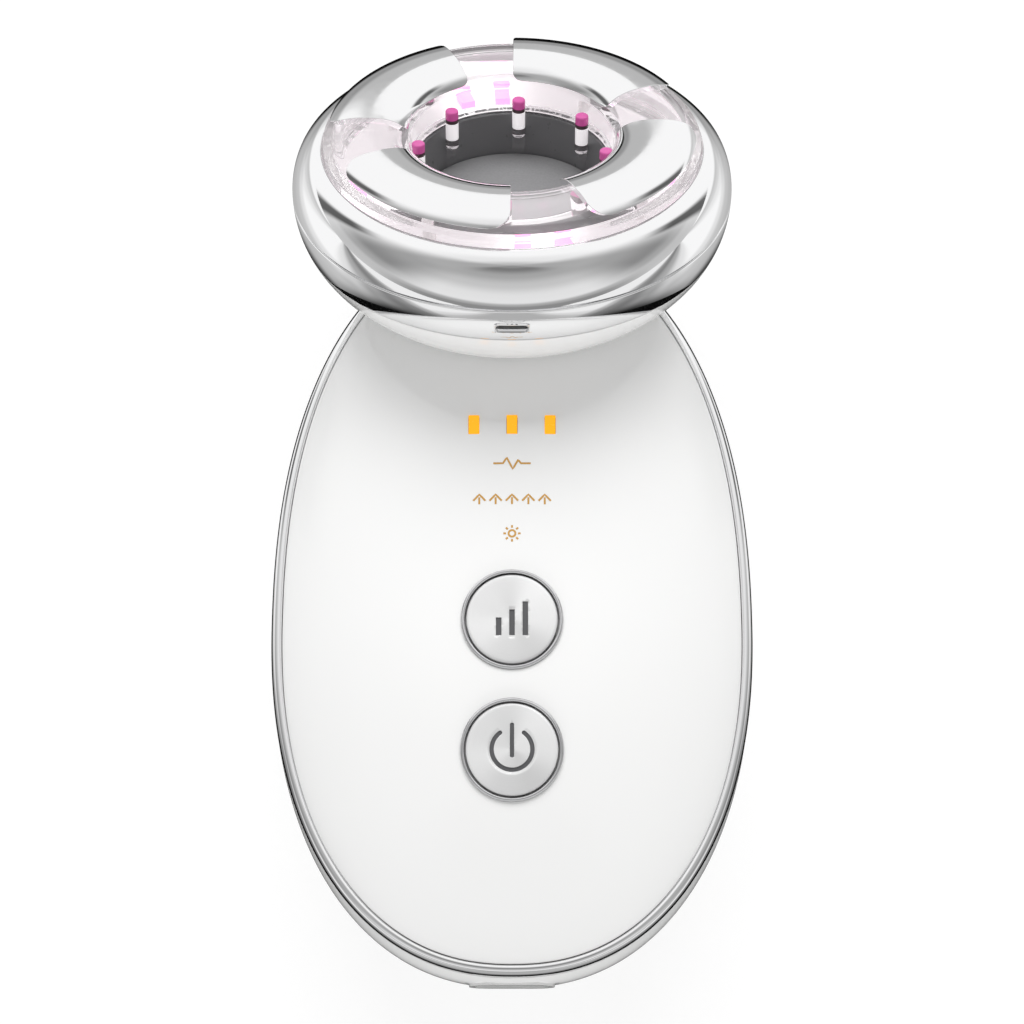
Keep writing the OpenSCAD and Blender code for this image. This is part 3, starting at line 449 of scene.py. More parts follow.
def ramp_node(tree, fac, stops):
    """Brightness along a ramp of (position, value)."""
    node = tree.nodes.new("ShaderNodeValToRGB")
    node.color_ramp.interpolation = "EASE"
    while len(node.color_ramp.elements) < len(stops):
        node.color_ramp.elements.new(0.5)
    for element, (position, value) in zip(node.color_ramp.elements, stops):
        element.position = position
        element.color = (value, value, value, 1)
    tree.links.new(fac, node.inputs["Fac"])
    return node.outputs["Color"]


def build_material(
    name,
    colour,
    roughness,
    metallic=0.0,
    spread=0.03,
    grain=900.0,
    bump=0.02,
    bump_grain=2500.0,
    **sockets,
):
    """A Principled material whose roughness varies a little and whose surface has a fine grain."""
    material = bpy.data.materials.new(name)
    material.use_nodes = True
    nodes, links = material.node_tree.nodes, material.node_tree.links
    shader = nodes["Principled BSDF"]
    shader.inputs["Base Color"].default_value = (*colour, 1)
    shader.inputs["Metallic"].default_value = metallic
    for socket, value in sockets.items():
        shader.inputs[socket.replace("_", " ")].default_value = value
    span = nodes.new("ShaderNodeMapRange")
    span.inputs["From Min"].default_value = 0.3
    span.inputs["From Max"].default_value = 0.7
    span.inputs["To Min"].default_value = max(roughness - spread, 0)
    span.inputs["To Max"].default_value = roughness + spread
    links.new(noise_node(material.node_tree, grain, 3), span.inputs["Value"])
    links.new(span.outputs["Result"], shader.inputs["Roughness"])
    relief = nodes.new("ShaderNodeBump")
    relief.inputs["Strength"].default_value = bump
    relief.inputs["Distance"].default_value = 0.02 * MM
    links.new(noise_node(material.node_tree, bump_grain, 2), relief.inputs["Height"])
    links.new(relief.outputs["Normal"], shader.inputs["Normal"])
    return material


def glow(colour, strength):
    """Sockets of a material that gives off light."""
    return {"Emission_Color": (*colour, 1), "Emission_Strength": strength}


def tint_by_noise(material, low, high, grain):
    """Lets the base colour drift between two tones."""
    nodes, links = material.node_tree.nodes, material.node_tree.links
    ramp = nodes.new("ShaderNodeValToRGB")
    ramp.color_ramp.elements[0].position = 0.35
    ramp.color_ramp.elements[0].color = (*low, 1)
    ramp.color_ramp.elements[1].position = 0.65
    ramp.color_ramp.elements[1].color = (*high, 1)
    links.new(noise_node(material.node_tree, grain, 4), ramp.inputs["Fac"])
    links.new(ramp.outputs["Color"], nodes["Principled BSDF"].inputs["Base Color"])
    return material


def brushed_with_painted_fans(material, centre_y):
    """Gives a metal the circular brush lines of a spun face, and fan-shaped painted highlights in its base
    colour by the angle round the cap.
    """
    tree = material.node_tree
    nodes, links = tree.nodes, tree.links
    shader = nodes["Principled BSDF"]
    shader.inputs["Anisotropic"].default_value = 0.8
    tangent = nodes.new("ShaderNodeTangent")
    tangent.direction_type = "RADIAL"
    tangent.axis = "Z"
    links.new(tangent.outputs["Tangent"], shader.inputs["Tangent"])
    x, y, _ = axes_node(tree, "Object")
    y = math_node(tree, "SUBTRACT", y, centre_y * MM)
    turn = math_node(tree, "ARCTAN2", y, x)
    # painted highlights: fan-shaped light and shade painted into the base colour by the angle round the cap
    broad_painted_fan = math_node(tree, "COSINE", math_node(tree, "MULTIPLY_ADD", turn, 2.0, -0.9))
    narrow_painted_fan = math_node(tree, "COSINE", math_node(tree, "MULTIPLY_ADD", turn, 5.0, 1.2))
    painted_fans = math_node(tree, "MULTIPLY_ADD", narrow_painted_fan, 0.3, broad_painted_fan)
    flat = nodes.new("ShaderNodeCombineXYZ")
    links.new(x, flat.inputs[0])
    links.new(y, flat.inputs[1])
    reach = nodes.new("ShaderNodeVectorMath")
    reach.operation = "LENGTH"
    links.new(flat.outputs[0], reach.inputs[0])
    lines = nodes.new("ShaderNodeTexNoise")
    lines.noise_dimensions = "1D"
    lines.inputs["Scale"].default_value = 9000
    lines.inputs["Detail"].default_value = 2
    links.new(reach.outputs["Value"], lines.inputs["W"])
    # the brush lines are real grain; the fan-shaped light laid over them is painted
    lines_and_painted_fans = math_node(tree, "MULTIPLY_ADD", lines.outputs["Fac"], 0.5, painted_fans)
    lines_and_painted_fans = math_node(tree, "MULTIPLY_ADD", lines_and_painted_fans, 0.3, 0.45)
    links.new(ramp_node(tree, lines_and_painted_fans, [(0.0, 0.74), (1.0, 0.92)]), shader.inputs["Base Color"])
    return material


WHITE = (0.92, 0.92, 0.915)

gloss_white = build_material(
    "gloss_white", WHITE, 0.16, spread=0.02, grain=300, bump=0.008, Coat_Weight=0.6, Coat_Roughness=0.03
)
panel_white = build_material(
    "panel_white", WHITE, 0.12, spread=0.02, grain=250, bump=0.006, Coat_Weight=1.0, Coat_Roughness=0.02
)
chrome = build_material(
    "chrome", (0.93, 0.93, 0.935), 0.04, metallic=1.0, spread=0.015, grain=400, bump=0.01
)
electrode_metal = build_material(
    "electrode_metal", (0.93, 0.93, 0.935), 0.07, metallic=1.0, spread=0.02, grain=700, bump=0.02
)
ring_metal = build_material(
    "ring_metal", (0.74, 0.74, 0.75), 0.2, metallic=1.0, spread=0.05, grain=1500, bump=0.05
)
mode_cap_metal, power_cap_metal = (
    brushed_with_painted_fans(build_material(name, (0.9, 0.9, 0.9), 0.3, metallic=0.35, spread=0.02, grain=2500), y)
    for name, y in (("mode_cap_metal", MODE_Y), ("power_cap_metal", POWER_Y))
)
symbol_paint = build_material("symbol_paint", (0.1, 0.1, 0.105), 0.45, spread=0.05, grain=2000)
amber_lit = build_material(
    "amber_lit", (0.5, 0.19, 0.0), 0.25, grain=1500, **glow((1.0, 0.45, 0.0), 0.8)
)
amber_print = build_material("amber_print", (0.6, 0.33, 0.08), 0.4, grain=2500, bump=0.05)
# The clear ring gives off a faint painted glow: light painted in to lift its dark bands, in place of light
# that passes through it.
clear_acrylic_painted_glow = build_material(
    "clear_acrylic_painted_glow",
    (1.0, 0.99, 0.995),
    0.02,
    spread=0.01,
    grain=500,
    bump=0.01,
    Transmission_Weight=1.0,
    IOR=1.3,
    **glow((1.0, 0.94, 0.97), 0.07),
)
pink_lit = build_material(
    "pink_lit", (0.9, 0.35, 0.65), 0.3, grain=1500, **glow((1.0, 0.3, 0.68), 0.75)
)
magenta_lit = build_material(
    "magenta_lit", (0.5, 0.1, 0.3), 0.2, grain=1500, **glow((0.75, 0.08, 0.38), 0.24)
)
lens_white = build_material(
    "lens_white", (0.95, 0.93, 0.94), 0.12, grain=1500, Coat_Weight=0.8, **glow((1.0, 0.96, 0.98), 0.5)
)
collar_dark = build_material("collar_dark", (0.09, 0.05, 0.06), 0.3, grain=1500)
post_clear = build_material(
    "post_clear", (1.0, 0.97, 0.99), 0.03, grain=1500, Transmission_Weight=1.0, IOR=1.49
)
cup_grey = build_material(
    "cup_grey", (0.17, 0.17, 0.175), 0.32, spread=0.05, grain=900, bump=0.08, Coat_Weight=0.3
)
filter_grey = tint_by_noise(
    build_material("filter_grey", (0.25, 0.25, 0.25), 0.4, grain=2500, bump=0.1, bump_grain=6000),
    (0.235, 0.235, 0.24),
    (0.26, 0.26, 0.265),
    3500,
)
core_white = build_material("core_white", (0.85, 0.85, 0.84), 0.45, grain=800, bump=0.05)
board_green = tint_by_noise(
    build_material("board_green", (0.03, 0.2, 0.09), 0.35, grain=900, bump=0.1, Coat_Weight=0.4),
    (0.02, 0.14, 0.06),
    (0.04, 0.24, 0.11),
    1200,
)
# The board gives off a painted glow: light painted in, in place of light that reaches the clear ring from
# inside.
board_white = build_material(
    "board_white", (0.85, 0.85, 0.84), 0.4, grain=900, bump=0.08, **glow((1.0, 0.93, 0.97), 0.36)
)
chip_black = build_material("chip_black", (0.03, 0.03, 0.033), 0.5, grain=2500, bump=0.2)
frame_grey = build_material("frame_grey", (0.5, 0.5, 0.51), 0.5, grain=900, bump=0.12)
steel = build_material(
    "steel", (0.6, 0.6, 0.62), 0.3, metallic=1.0, spread=0.08, grain=1800, bump=0.08
)
battery_foil = tint_by_noise(
    build_material("battery_foil", (0.6, 0.62, 0.66), 0.3, metallic=0.9, spread=0.1, grain=250, bump=0.3),
    (0.55, 0.57, 0.6),
    (0.68, 0.7, 0.74),
    200,
)
foam_grey = tint_by_noise(
    build_material("foam_grey", (0.1, 0.1, 0.1), 0.95, grain=3000, bump=0.6, bump_grain=4000),
    (0.05, 0.05, 0.05),
    (0.14, 0.14, 0.14),
    3500,
)
hose_clear = build_material(
    "hose_clear", (0.85, 0.85, 0.83), 0.3, grain=800, Subsurface_Weight=0.3, Subsurface_Scale=0.001
)
cable_black = build_material("cable_black", (0.03, 0.03, 0.03), 0.5, grain=2000, bump=0.2)
nickel = build_material("nickel", (0.85, 0.84, 0.83), 0.3, metallic=1.0, grain=1500, bump=0.05)


# ---- Handle ----


def make_rear_shell():
    """The white rear shell, smooth outside and in, open at the top."""
    lower = [SWELL_Z * (1 - math.cos(math.pi / 2 * i / 26)) for i in range(27)]
    upper = [SWELL_Z + (BEZEL_FOOT - SWELL_Z) * i / 6 for i in range(1, 7)]
    outside = [shell_ring(z, 0) for z in lower + upper]
    inside_levels = [SHELL_WALL + z * (SWELL_Z - SHELL_WALL) / SWELL_Z for z in lower] + upper
    inside = [shell_ring(z, SHELL_WALL) for z in reversed(inside_levels)]
    shell = loft("rear_shell_body", outside + inside, sharp=40)
    turn = Matrix.Translation((0, 0, PORT_Z)) @ Matrix.Rotation(math.radians(-90), 4, "X")
    mouth = prism(
        "socket_mouth",
        slot_outline(PORT_W + 2 * (TRIM_W + FIT), PORT_H + 2 * (TRIM_W + FIT)),
        -HANDLE_LOW - 2,
        -HANDLE_LOW + 4,
        turn,
    )
    neck_hole = revolve(
        "neck_hole",
        [(0, SEAT_TOP - 12), (NECK_R + BOWL_GAP, SEAT_TOP - 12), (NECK_R + BOWL_GAP, 0), (0, 0)],
        HEAD,
    )
    cut(shell, head_room(), mouth, neck_hole)
    return place(shell, gloss_white, "housing", "shell_white", "rear_shell")


def make_bezel():
    """The plated bezel, one closed section of (inset, height, share of the swell) round the outline."""
    steps, edge = 12, 0.08
    inner_round = BEZEL_W - BEZEL_ROUND - 0.05
    quarter = [math.pi / 2 * i / steps for i in range(steps + 1)]
    belly_z = RIM_Z - BEZEL_FALL
    foot = BEZEL_FOOT + edge
    section = [(edge, BEZEL_FOOT, 0), (0, foot, 0)]
    section += [
        (0, foot + (belly_z - foot) * i / steps, math.sin(quarter[i])) for i in range(1, steps)
    ]
    section += [
        (BEZEL_ROUND * (1 - math.cos(a)), RIM_Z - BEZEL_FALL * (1 - math.sin(a)), math.cos(a))
        for a in quarter
    ]
    section += [
        (BEZEL_W - inner_round * (1 - math.sin(a)), RIM_Z - inner_round * (1 - math.cos(a)), 0)
        for a in quarter
    ]
    section += [(BEZEL_W, LEDGE_Z, 0), (LEDGE_W, LEDGE_Z, 0), (LEDGE_W, BEZEL_FOOT, 0)]
    rings = []
    for x, z, swell in section:
        side = HANDLE_HALF_W - x + BEZEL_SWELL * swell
        rings.append(outline(side, HANDLE_LOW - x, HANDLE_TOP - x, z, count=2 * AROUND))
    bezel = loft("bezel_ring", rings, closed=True, sharp=50)
    cut(bezel, head_room())
    return place(bezel, chrome, "housing", "plated_trim", "bezel")


def indicator_outline(k, grow):
    """Rectangle with small round corners at an indicator's place."""
    half_w, half_l, corner = INDICATOR_W / 2 + grow, INDICATOR_L / 2 + grow, 0.12
    out = []
    for quarter, (sx, sy) in enumerate(((1, 1), (-1, 1), (-1, -1), (1, -1))):
        for i in range(5):
            a = math.pi / 2 * (quarter + i / 4)
            x = sx * (half_w - corner) + corner * math.cos(a)
            y = sy * (half_l - corner) + corner * math.sin(a)
            out.append((k * INDICATOR_PITCH + x, INDICATOR_Y + y))
    return out


def smooth_dome_normals(panel):
    """Sets the normals of the panel's face from its own curve, so that cuts leave no ripples."""
    mesh = panel.data
    step = 0.05
    normals = [Vector(n.vector) for n in mesh.corner_normals]
    for face in mesh.polygons:
        middle = face.center / MM
        if face.normal.z < 0.5 or abs(middle.z - panel_z(middle.x, middle.y)) > 0.08:
            continue
        for loop in face.loop_indices:
            x, y, _ = mesh.vertices[mesh.loops[loop].vertex_index].co / MM
            slope_x = (panel_z(x + step, y) - panel_z(x - step, y)) / (2 * step)
            slope_y = (panel_z(x, y + step) - panel_z(x, y - step)) / (2 * step)
            if abs(slope_x) < 1.5 and abs(slope_y) < 1.5:
                normals[loop] = Vector((-slope_x, -slope_y, 1)).normalized()
    mesh.normals_split_custom_set(normals)


def make_front_panel():
    """The white front panel: a thin crowned shell with its holes."""
    half_w, low, top = PANEL_SIZE
    shares = [0.01] + [1 - (1 - i / 44) ** 1.4 for i in range(1, 45)]

    def ring(share, drop):
        return outline(half_w * share, low * share, top * share, panel_height(share) - drop)

    rings = [ring(s, PANEL_T) for s in shares] + [ring(s, 0) for s in reversed(shares)]
    panel = loft("front_panel_shell", rings, sharp=50)
    tools = [head_room()]
    for y in (MODE_Y, POWER_Y):
        profile = [
            (0, -4),
            (SLEEVE_R + FIT, -4),
            (SLEEVE_R + FIT, -RING_SUNK),
            (RING_R + FIT, -RING_SUNK),
            (RING_R + FIT, 4),
            (0, 4),
        ]
        tools.append(revolve("button_hole", profile, button_frame(y), turns=96))
    for k in (-1, 0, 1):
        tools.append(prism("lamp_hole", indicator_outline(k, FIT), LEDGE_Z, RIM_Z + PANEL_CROWN + 2))
    cut(panel, *tools)
    smooth_dome_normals(panel)
    return place(panel, panel_white, "housing", "panel_white", "front_panel")


# ---- Buttons, lamps and print ----


def make_button_ring(name, y, node):
    """The plated ring that a cap sits in."""
    bore = CAP_R + CAP_GAP
    profile = softened(
        [
            (bore, -SLEEVE_DEPTH, 0.05),
            (SLEEVE_R, -SLEEVE_DEPTH, 0.05),
            (SLEEVE_R, -RING_SUNK, 0.02),
            (RING_R, -RING_SUNK, 0.02),
            (RING_R, RING_RISE * 0.6, 0.12),
            (RING_R - 0.15, RING_RISE, 0.1),
            (bore + 0.12, RING_RISE, 0.1),
            (bore, RING_RISE * 0.4, 0.1),
        ]
    )
    ring = revolve(name, profile, button_frame(y), turns=128)
    return place(ring, ring_metal, "housing", "button_ring", node)


def power_symbol_outlines():
    """An open ring and a bar, as closed outlines."""
    half, opening, steps = POWER_STROKE / 2, math.radians(POWER_OPENING), 40
    start, sweep = math.pi / 2 + opening, 2 * (math.pi - opening)
    angles = [start + sweep * i / steps for i in range(steps + 1)]
    turns = [math.pi * i / 10 for i in range(1, 10)]

    def arc(radius, way):
        return [(radius * math.cos(a), radius * math.sin(a)) for a in way]

    def end(angle, first):
        x, y = POWER_SIGN_R * math.cos(angle), POWER_SIGN_R * math.sin(angle)
        return [(x + half * math.cos(first + t), y + half * math.sin(first + t)) for t in turns]

    ring = arc(POWER_SIGN_R + half, angles) + end(angles[-1], angles[-1])
    ring += arc(POWER_SIGN_R - half, reversed(angles)) + end(angles[0], angles[0] + math.pi)
    foot, top = POWER_BAR_FOOT + half, POWER_BAR_TOP - half
    bar = [(half * math.cos(t), top + half * math.sin(t)) for t in turns]
    bar += [(-half * math.cos(t), foot - half * math.sin(t)) for t in turns]
    return [ring, bar]


def mode_symbol_outlines():
    """Three level bars that grow, as closed outlines."""
    half = MODE_STROKE / 2
    bars = []
    for i in (-1, 0, 1):
        x, top = i * MODE_PITCH, MODE_FOOT + MODE_FIRST_H + (i + 1) * MODE_STEP
        bars.append([(x - half, MODE_FOOT), (x + half, MODE_FOOT), (x + half, top), (x - half, top)])
    return bars


def make_cap(name, y, body, node, metal, symbols):
    """A spun metal cap with its symbol cut in and filled with dark paint."""
    at = button_frame(y)
    face = [(CAP_R * 0.95 * i / 10, CAP_RISE - CAP_DISH * (i / 10) ** 2) for i in range(11)]
    profile = [(0, -CAP_FOOT - STEM_L), (STEM_R, -CAP_FOOT - STEM_L), (STEM_R, -CAP_FOOT)]
    profile += [(LIP_R, -CAP_FOOT), (LIP_R, -CAP_FOOT + LIP_T), (CAP_R, -CAP_FOOT + LIP_T)]
    profile += softened(
        [(CAP_R, -0.6, 0), (CAP_R, CAP_RISE - 1.5 * CAP_DISH, 0.15), (*face[-1], 0.12), (*face[-2], 0)]
    )[1:-1]
    profile += list(reversed(face[:-1]))
    cap = revolve(name, profile, at, turns=128, sharp=35)
    floor = CAP_RISE - CAP_DISH * 0.25 - SYMBOL_DEPTH
    tools = [prism("symbol", shape, floor, floor + 2, at) for shape in symbols]
    for shape in symbols:
        inset = prism(name + "_paint", shape, floor - 0.1, floor + 0.02, at)
        inset.parent = cap
        inset.data.materials.append(symbol_paint)
    cut(cap, *tools)
    return place(cap, metal, body, "button_cap", node)


def make_lamps():
    """The three amber light guides, with a soft top edge."""
    for k in (-1, 0, 1):
        face = panel_z(k * INDICATOR_PITCH, INDICATOR_Y) + FIT
        lamp = prism(f"lamp_{k + 2}", indicator_outline(k, 0), LEDGE_Z + 1, face)
        bevel(lamp, 0.06)
        place(lamp, amber_lit, "housing", "indicator_amber")
        if k == 0:
            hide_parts("indicator_guides")


def stroke(points, width):
    """A flat ribbon on the panel's face along a line of (x, y), as one mesh part."""
    lift = 0.02
    verts, faces = [], []
    for k, (x, y) in enumerate(points):
        before = Vector(points[max(k - 1, 0)])
        after = Vector(points[min(k + 1, len(points) - 1)])
        along = (after - before).normalized()
        side = Vector((-along.y, along.x)) * width / 2
        for sign in (1, -1):
            px, py = x + sign * side.x, y + sign * side.y
            verts.append((px, py, panel_z(px, py) + lift))
    for k in range(len(points) - 1):
        faces.append((2 * k, 2 * k + 2, 2 * k + 3, 2 * k + 1))
    return verts, faces


def make_print(name, lines):
    """A small printed pictogram from lines of (x, y)."""
    verts, faces = [], []
    for line in lines:
        fine = []
        for a, b in zip(line, line[1:]):
            fine += [(a[0] + (b[0] - a[0]) * i / 4, a[1] + (b[1] - a[1]) * i / 4) for i in range(4)]
        fine.append(line[-1])
        part_verts, part_faces = stroke(fine, PRINT_STROKE)
        base = len(verts)
        verts += part_verts
        faces += [tuple(base + i for i in face) for face in part_faces]
    printed = make_object(name, verts, faces)
    return place(printed, amber_print, "housing", "indicator_amber")


def make_prints():
    """A generic pictogram in each row of the print: pulse, suction and light."""
    half = PRINT_H / 2
    y = PRINT_ROWS[0]
    pulse = [(-2.3, y), (-1.1, y), (-0.65, y + half), (0.1, y - half), (0.75, y + half * 0.6)]
    make_print("print_pulse", [pulse + [(1.1, y), (2.3, y)]])
    y = PRINT_ROWS[1]
    arrows = []
    for x in (-4.0, -2.0, 0.0, 2.0, 4.0):
        arrows.append([(x - 0.75, y - half * 0.4), (x, y + half * 0.7), (x + 0.75, y - half * 0.4)])
        arrows.append([(x, y - half), (x, y + half * 0.2)])
    make_print("print_suction", arrows)
    y = PRINT_ROWS[2]
    ring = [
        (SUN_R * math.cos(math.pi * i / 8), y + SUN_R * math.sin(math.pi * i / 8)) for i in range(17)
    ]
    turns = [math.pi / 4 * i for i in range(8)]
    rays = [[(r * math.cos(a), y + r * math.sin(a)) for r in (RAY_FOOT, RAY_TIP)] for a in turns]
    make_print("print_light", [ring] + rays)


# ---- Head ----


def vent():
    """The slot through the band and the bowl's spigot."""
    at = HEAD @ Matrix.Translation((0, -HEAD_R, VENT_T)) @ Matrix.Rotation(math.radians(90), 4, "X")
    return prism("vent", slot_outline(VENT_W, VENT_H), -5.5, 2, at)


def make_head_bowl():
    """The white bowl under the head, with its neck."""
    spigot = INNER_WALL_R - FIT
    inside = [
        (min(r - BOWL_WALL, spigot - 1.5), t) for r, t in under_curve(-BAND_H, BOWL_FLOOR)
    ]
    profile = [(NECK_R - NECK_WALL, NECK_FOOT), (NECK_R, NECK_FOOT), (NECK_R, -BOWL_BASE)]
    profile += under_curve(-BOWL_BASE, -BAND_H - 0.06) + [(under_r(-BAND_H) - 0.06, -BAND_H)]
    profile += [(spigot, -BAND_H), (spigot, CORE_FLANGE_FOOT), (spigot - 1.5, CORE_FLANGE_FOOT)]
    profile += inside + [(NECK_R - NECK_WALL, BOWL_FLOOR)]
    bowl = revolve("head_bowl_shell", profile, HEAD)
    cut(bowl, vent())
    return place(bowl, gloss_white, "housing", "bowl_white", "head_bowl")


def make_lower_band():
    """The plated band under the seam, with its vent."""
    profile = [(INNER_WALL_R, -BAND_H), (under_r(-BAND_H) - 0.1, -BAND_H)]
    profile += under_curve(-BAND_H + 0.1, -SEAM - 0.1)
    profile += [(under_r(-SEAM) - 0.1, -SEAM), (INNER_WALL_R, -SEAM)]
    band = revolve("lower_band_ring", profile, HEAD, sharp=50)
    cut(band, vent())
    return place(band, chrome, "housing", "plated_trim", "lower_band")


def make_shoulder_ring():
    """The plated shoulder between the light ring and the seam."""
    bore = RING_WALL_R + 0.15
    flare = []
    for i in range(41):
        t = SHOULDER_H * math.cos(math.pi / 2 * i / 40)
        flare.append((bore + 0.1 + (HEAD_R - bore - 0.1) * math.sqrt(1 - (t / SHOULDER_H) ** 2), t))
    profile = [(bore, SHOULDER_H - 1.2), (bore, SHOULDER_H - 0.12), (bore + 0.04, SHOULDER_H - 0.03)]
    profile += flare + [(HEAD_R - 0.1, 0), (INNER_WALL_R, 0), (INNER_WALL_R, SHOULDER_H - 1.8)]
    ring = revolve("shoulder_ring_body", profile, HEAD, sharp=50)
    return place(ring, chrome, "housing", "plated_trim", "shoulder_ring")


def make_light_ring():
    """The clear ring that carries the electrodes and leads the light, hollow under its crown."""
    wall_in = RING_WALL_R - RING_WALL
    leg = CUP_MOUTH_R + 2.05
    leg_foot = CUP_MOUTH + 0.4
    foot_r, foot_t = RING_WALL_R + 1.2, 1.2
    corners = [
        (wall_in, CORE_TOP, 0),
        (foot_r, CORE_TOP, 0.05),
        (foot_r, CORE_TOP + foot_t, 0.05),
        (RING_WALL_R, CORE_TOP + foot_t, 0.1),
        (RING_WALL_R, CROWN_FOOT + 0.3, 0.15),
    ]
    corners += plain([crown_point(a, ELECTRODE_T) for a in range(12, 169, 4)])
    corners += [
        (CROWN_MID_R - CROWN_HALF_W, CROWN_FOOT + 0.2, 0.2),
        (CUP_MOUTH_R, leg_foot, 0.15),
        (leg, leg_foot, 0.05),
        (leg, CROWN_FOOT + 0.1, 0.3),
    ]
    corners += plain([crown_point(a, ELECTRODE_T + CROWN_WALL) for a in range(150, 29, -5)])
    corners.append((wall_in, CROWN_FOOT, 0.3))
    ring = revolve("light_ring_clear", softened(corners), HEAD, sharp=35)
    return place(ring, clear_acrylic_painted_glow, "housing", "acrylic_clear", "light_ring")


def make_electrode(node, turn):
    """One curved metal plate with round corners, wrapped over the crown."""
    rows, columns = 45, 41
    half_span = math.radians(ELECTRODE_SPAN / 2)
    angles = [
        ELECTRODE_OUTER_ANGLE + (ELECTRODE_INNER_ANGLE - ELECTRODE_OUTER_ANGLE) * i / (rows - 1)
        for i in range(rows)
    ]
    section = [Vector(crown_point(a)) for a in angles]
    run = [0.0]
    for a, b in zip(section, section[1:]):
        run.append(run[-1] + (b - a).length)

    def corner_loss(distance, radius):
        if distance >= radius:
            return 0.0
        return radius - math.sqrt(max(radius**2 - (radius - distance) ** 2, 0))

    points = []
    for inset in (0.0, ELECTRODE_T):
        for k, a in enumerate(angles):
            r, t = crown_point(a, inset)
            loss = max(
                corner_loss(run[k], ELECTRODE_CORNER),
                corner_loss(run[-1] - run[k], ELECTRODE_INNER_CORNER),
            )
            reach = half_span - loss / section[k].x
            for i in range(columns):
                b = math.radians(turn) + reach * (2 * i / (columns - 1) - 1)
                points.append((r * math.cos(b), r * math.sin(b), t))
    size = rows * columns
    faces = grid_faces(rows, columns, wrap_columns=False)
    faces += [tuple(size + i for i in reversed(face)) for face in faces]
    border = [i for i in range(columns)]
    border += [k * columns + columns - 1 for k in range(1, rows)]
    border += [(rows - 1) * columns + i for i in range(columns - 2, -1, -1)]
    border += [k * columns for k in range(rows - 2, 0, -1)]
    for a, b in zip(border, border[1:] + border[:1]):
        faces.append((b, a, size + a, size + b))
    plate = make_object(node + "_plate", points, faces, matrix=HEAD, sharp=40)
    bevel(plate, 0.14)
    return place(plate, electrode_metal, "housing", "electrode_chrome", node)


def post_frame(k):
    """Frame at the foot of a lamp post, in the head's heights."""
    turn = Matrix.Rotation(math.radians(POST_TURN + 360 * k / POST_COUNT), 4, "Z")
    return HEAD @ turn @ Matrix.Translation((POST_PLACE_R, 0, 0))


def make_suction_cup():
    """The grey cup, with a small rounding at its floor and mouth."""
    outer = CUP_FLOOR_R + CUP_WALL
    under = CUP_FLOOR + 1.5
    corners = [
        (0.8, -CUP_FLOOR, 0.1),
        (0.8, -under - 4.2, 0),
        (1.5, -under - 4.2, 0),
        (1.5, -under, 0),
        (outer, -under, 0.2),
        (outer, CORE_TOP, 0),
        (CORE_R, CORE_TOP, 0.05),
        (CORE_R, CORE_TOP + 1, 0.05),
        (outer + 0.2, CORE_TOP + 1, 0),
        (outer + 0.2, CUP_MOUTH, 0.1),
        (CUP_MOUTH_R, CUP_MOUTH, 0.2),
        (CUP_FLOOR_R, -CUP_FLOOR, 0.35),
    ]
    cup = revolve("suction_cup_body", softened(corners), HEAD)
    grooves = []
    for k in range(POST_COUNT):
        profile = [(0, 0), (POST_R + FIT, 0), (POST_R + FIT, POST_TOP), (0, POST_TOP)]
        grooves.append(revolve("groove", profile, post_frame(k), turns=24))
    cut(cup, *grooves)
    return place(cup, cup_grey, "housing", "cup_grey", "suction_cup")


def make_posts():
    """The lit pegs round the cup: a clear foot, a white lens, a dark collar and a magenta lamp."""
    levels = (  # name, material, foot, top, rounding of the foot and of the top
        ("foot", post_clear, 0.0, 1.35, 0.45, 0.05),
        ("lens", lens_white, 1.38, 3.75, 0.05, 0.05),
        ("collar", collar_dark, 3.78, 4.25, 0.02, 0.02),
        ("lamp", magenta_lit, 4.28, POST_TOP, 0.05, 0.3),
    )
    for k in range(POST_COUNT):
        for name, material, low, high, round_low, round_high in levels:
            profile = [(0, low, 0), (POST_R, low, round_low), (POST_R, high, round_high), (0, high, 0)]
            piece = revolve(f"post_{name}_{k + 1}", softened(profile), post_frame(k), turns=32)
            place(piece, material, "housing", "led_pink")
            if (k, name) == (0, "lens"):
                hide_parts("led_posts")


# ---- Materials of the nodes that stay ----

NODE_MATERIALS = (
    (chip_black, ("mode_switch", "power_switch", "board_chips", "pump_head")),
    (core_white, ("mode_plunger", "power_plunger", "neck_nut", "head_core")),
    (amber_lit, ("indicator_leds",)),
    (board_green, ("main_board", "charging_board")),
    (frame_grey, ("inner_frame", "valve_body")),
    (steel, ("frame_screws", "head_screws", "pump_motor", "pump_rotor", "valve_plunger", "charging_socket")),
    (battery_foil, ("battery",)),
    (foam_grey, ("battery_pad",)),
    (hose_clear, ("suction_hose", "valve_hose")),
    (cable_black, ("head_cable",)),
    (gloss_white, ("socket_trim",)),
    (board_white, ("led_board",)),
    (pink_lit, ("ring_leds",)),
    (nickel, ("contact_studs",)),
    (cup_grey, ("cup_gasket",)),
    (filter_grey, ("filter_pad",)),
)


def dress_nodes():
    """Gives each node that stays its material."""
    for material, names in NODE_MATERIALS:
        for name in names:
            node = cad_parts[name]
            node.data.materials.clear()
            node.data.materials.append(material)


# ---- Studio ----


CAMERA_PLACE = (0, -0.06959, 0.29654)
CAMERA_LEAN = 17.0
LENS_MM = 80
SENSOR_MM = 36


def make_camera():
    """The photograph's view: steep, from the lower end."""
    lens = bpy.data.cameras.new("camera")
    lens.lens = LENS_MM
    lens.sensor_width = SENSOR_MM
    lens.clip_start = 0.01
    camera = bpy.data.objects.new("camera", lens)
    camera.location = CAMERA_PLACE
    camera.rotation_euler = (math.radians(CAMERA_LEAN), 0, 0)
    scene.collection.objects.link(camera)
    scene.camera = camera


SEEN_RAYS = ("Is Camera Ray", "Is Transmission Ray")


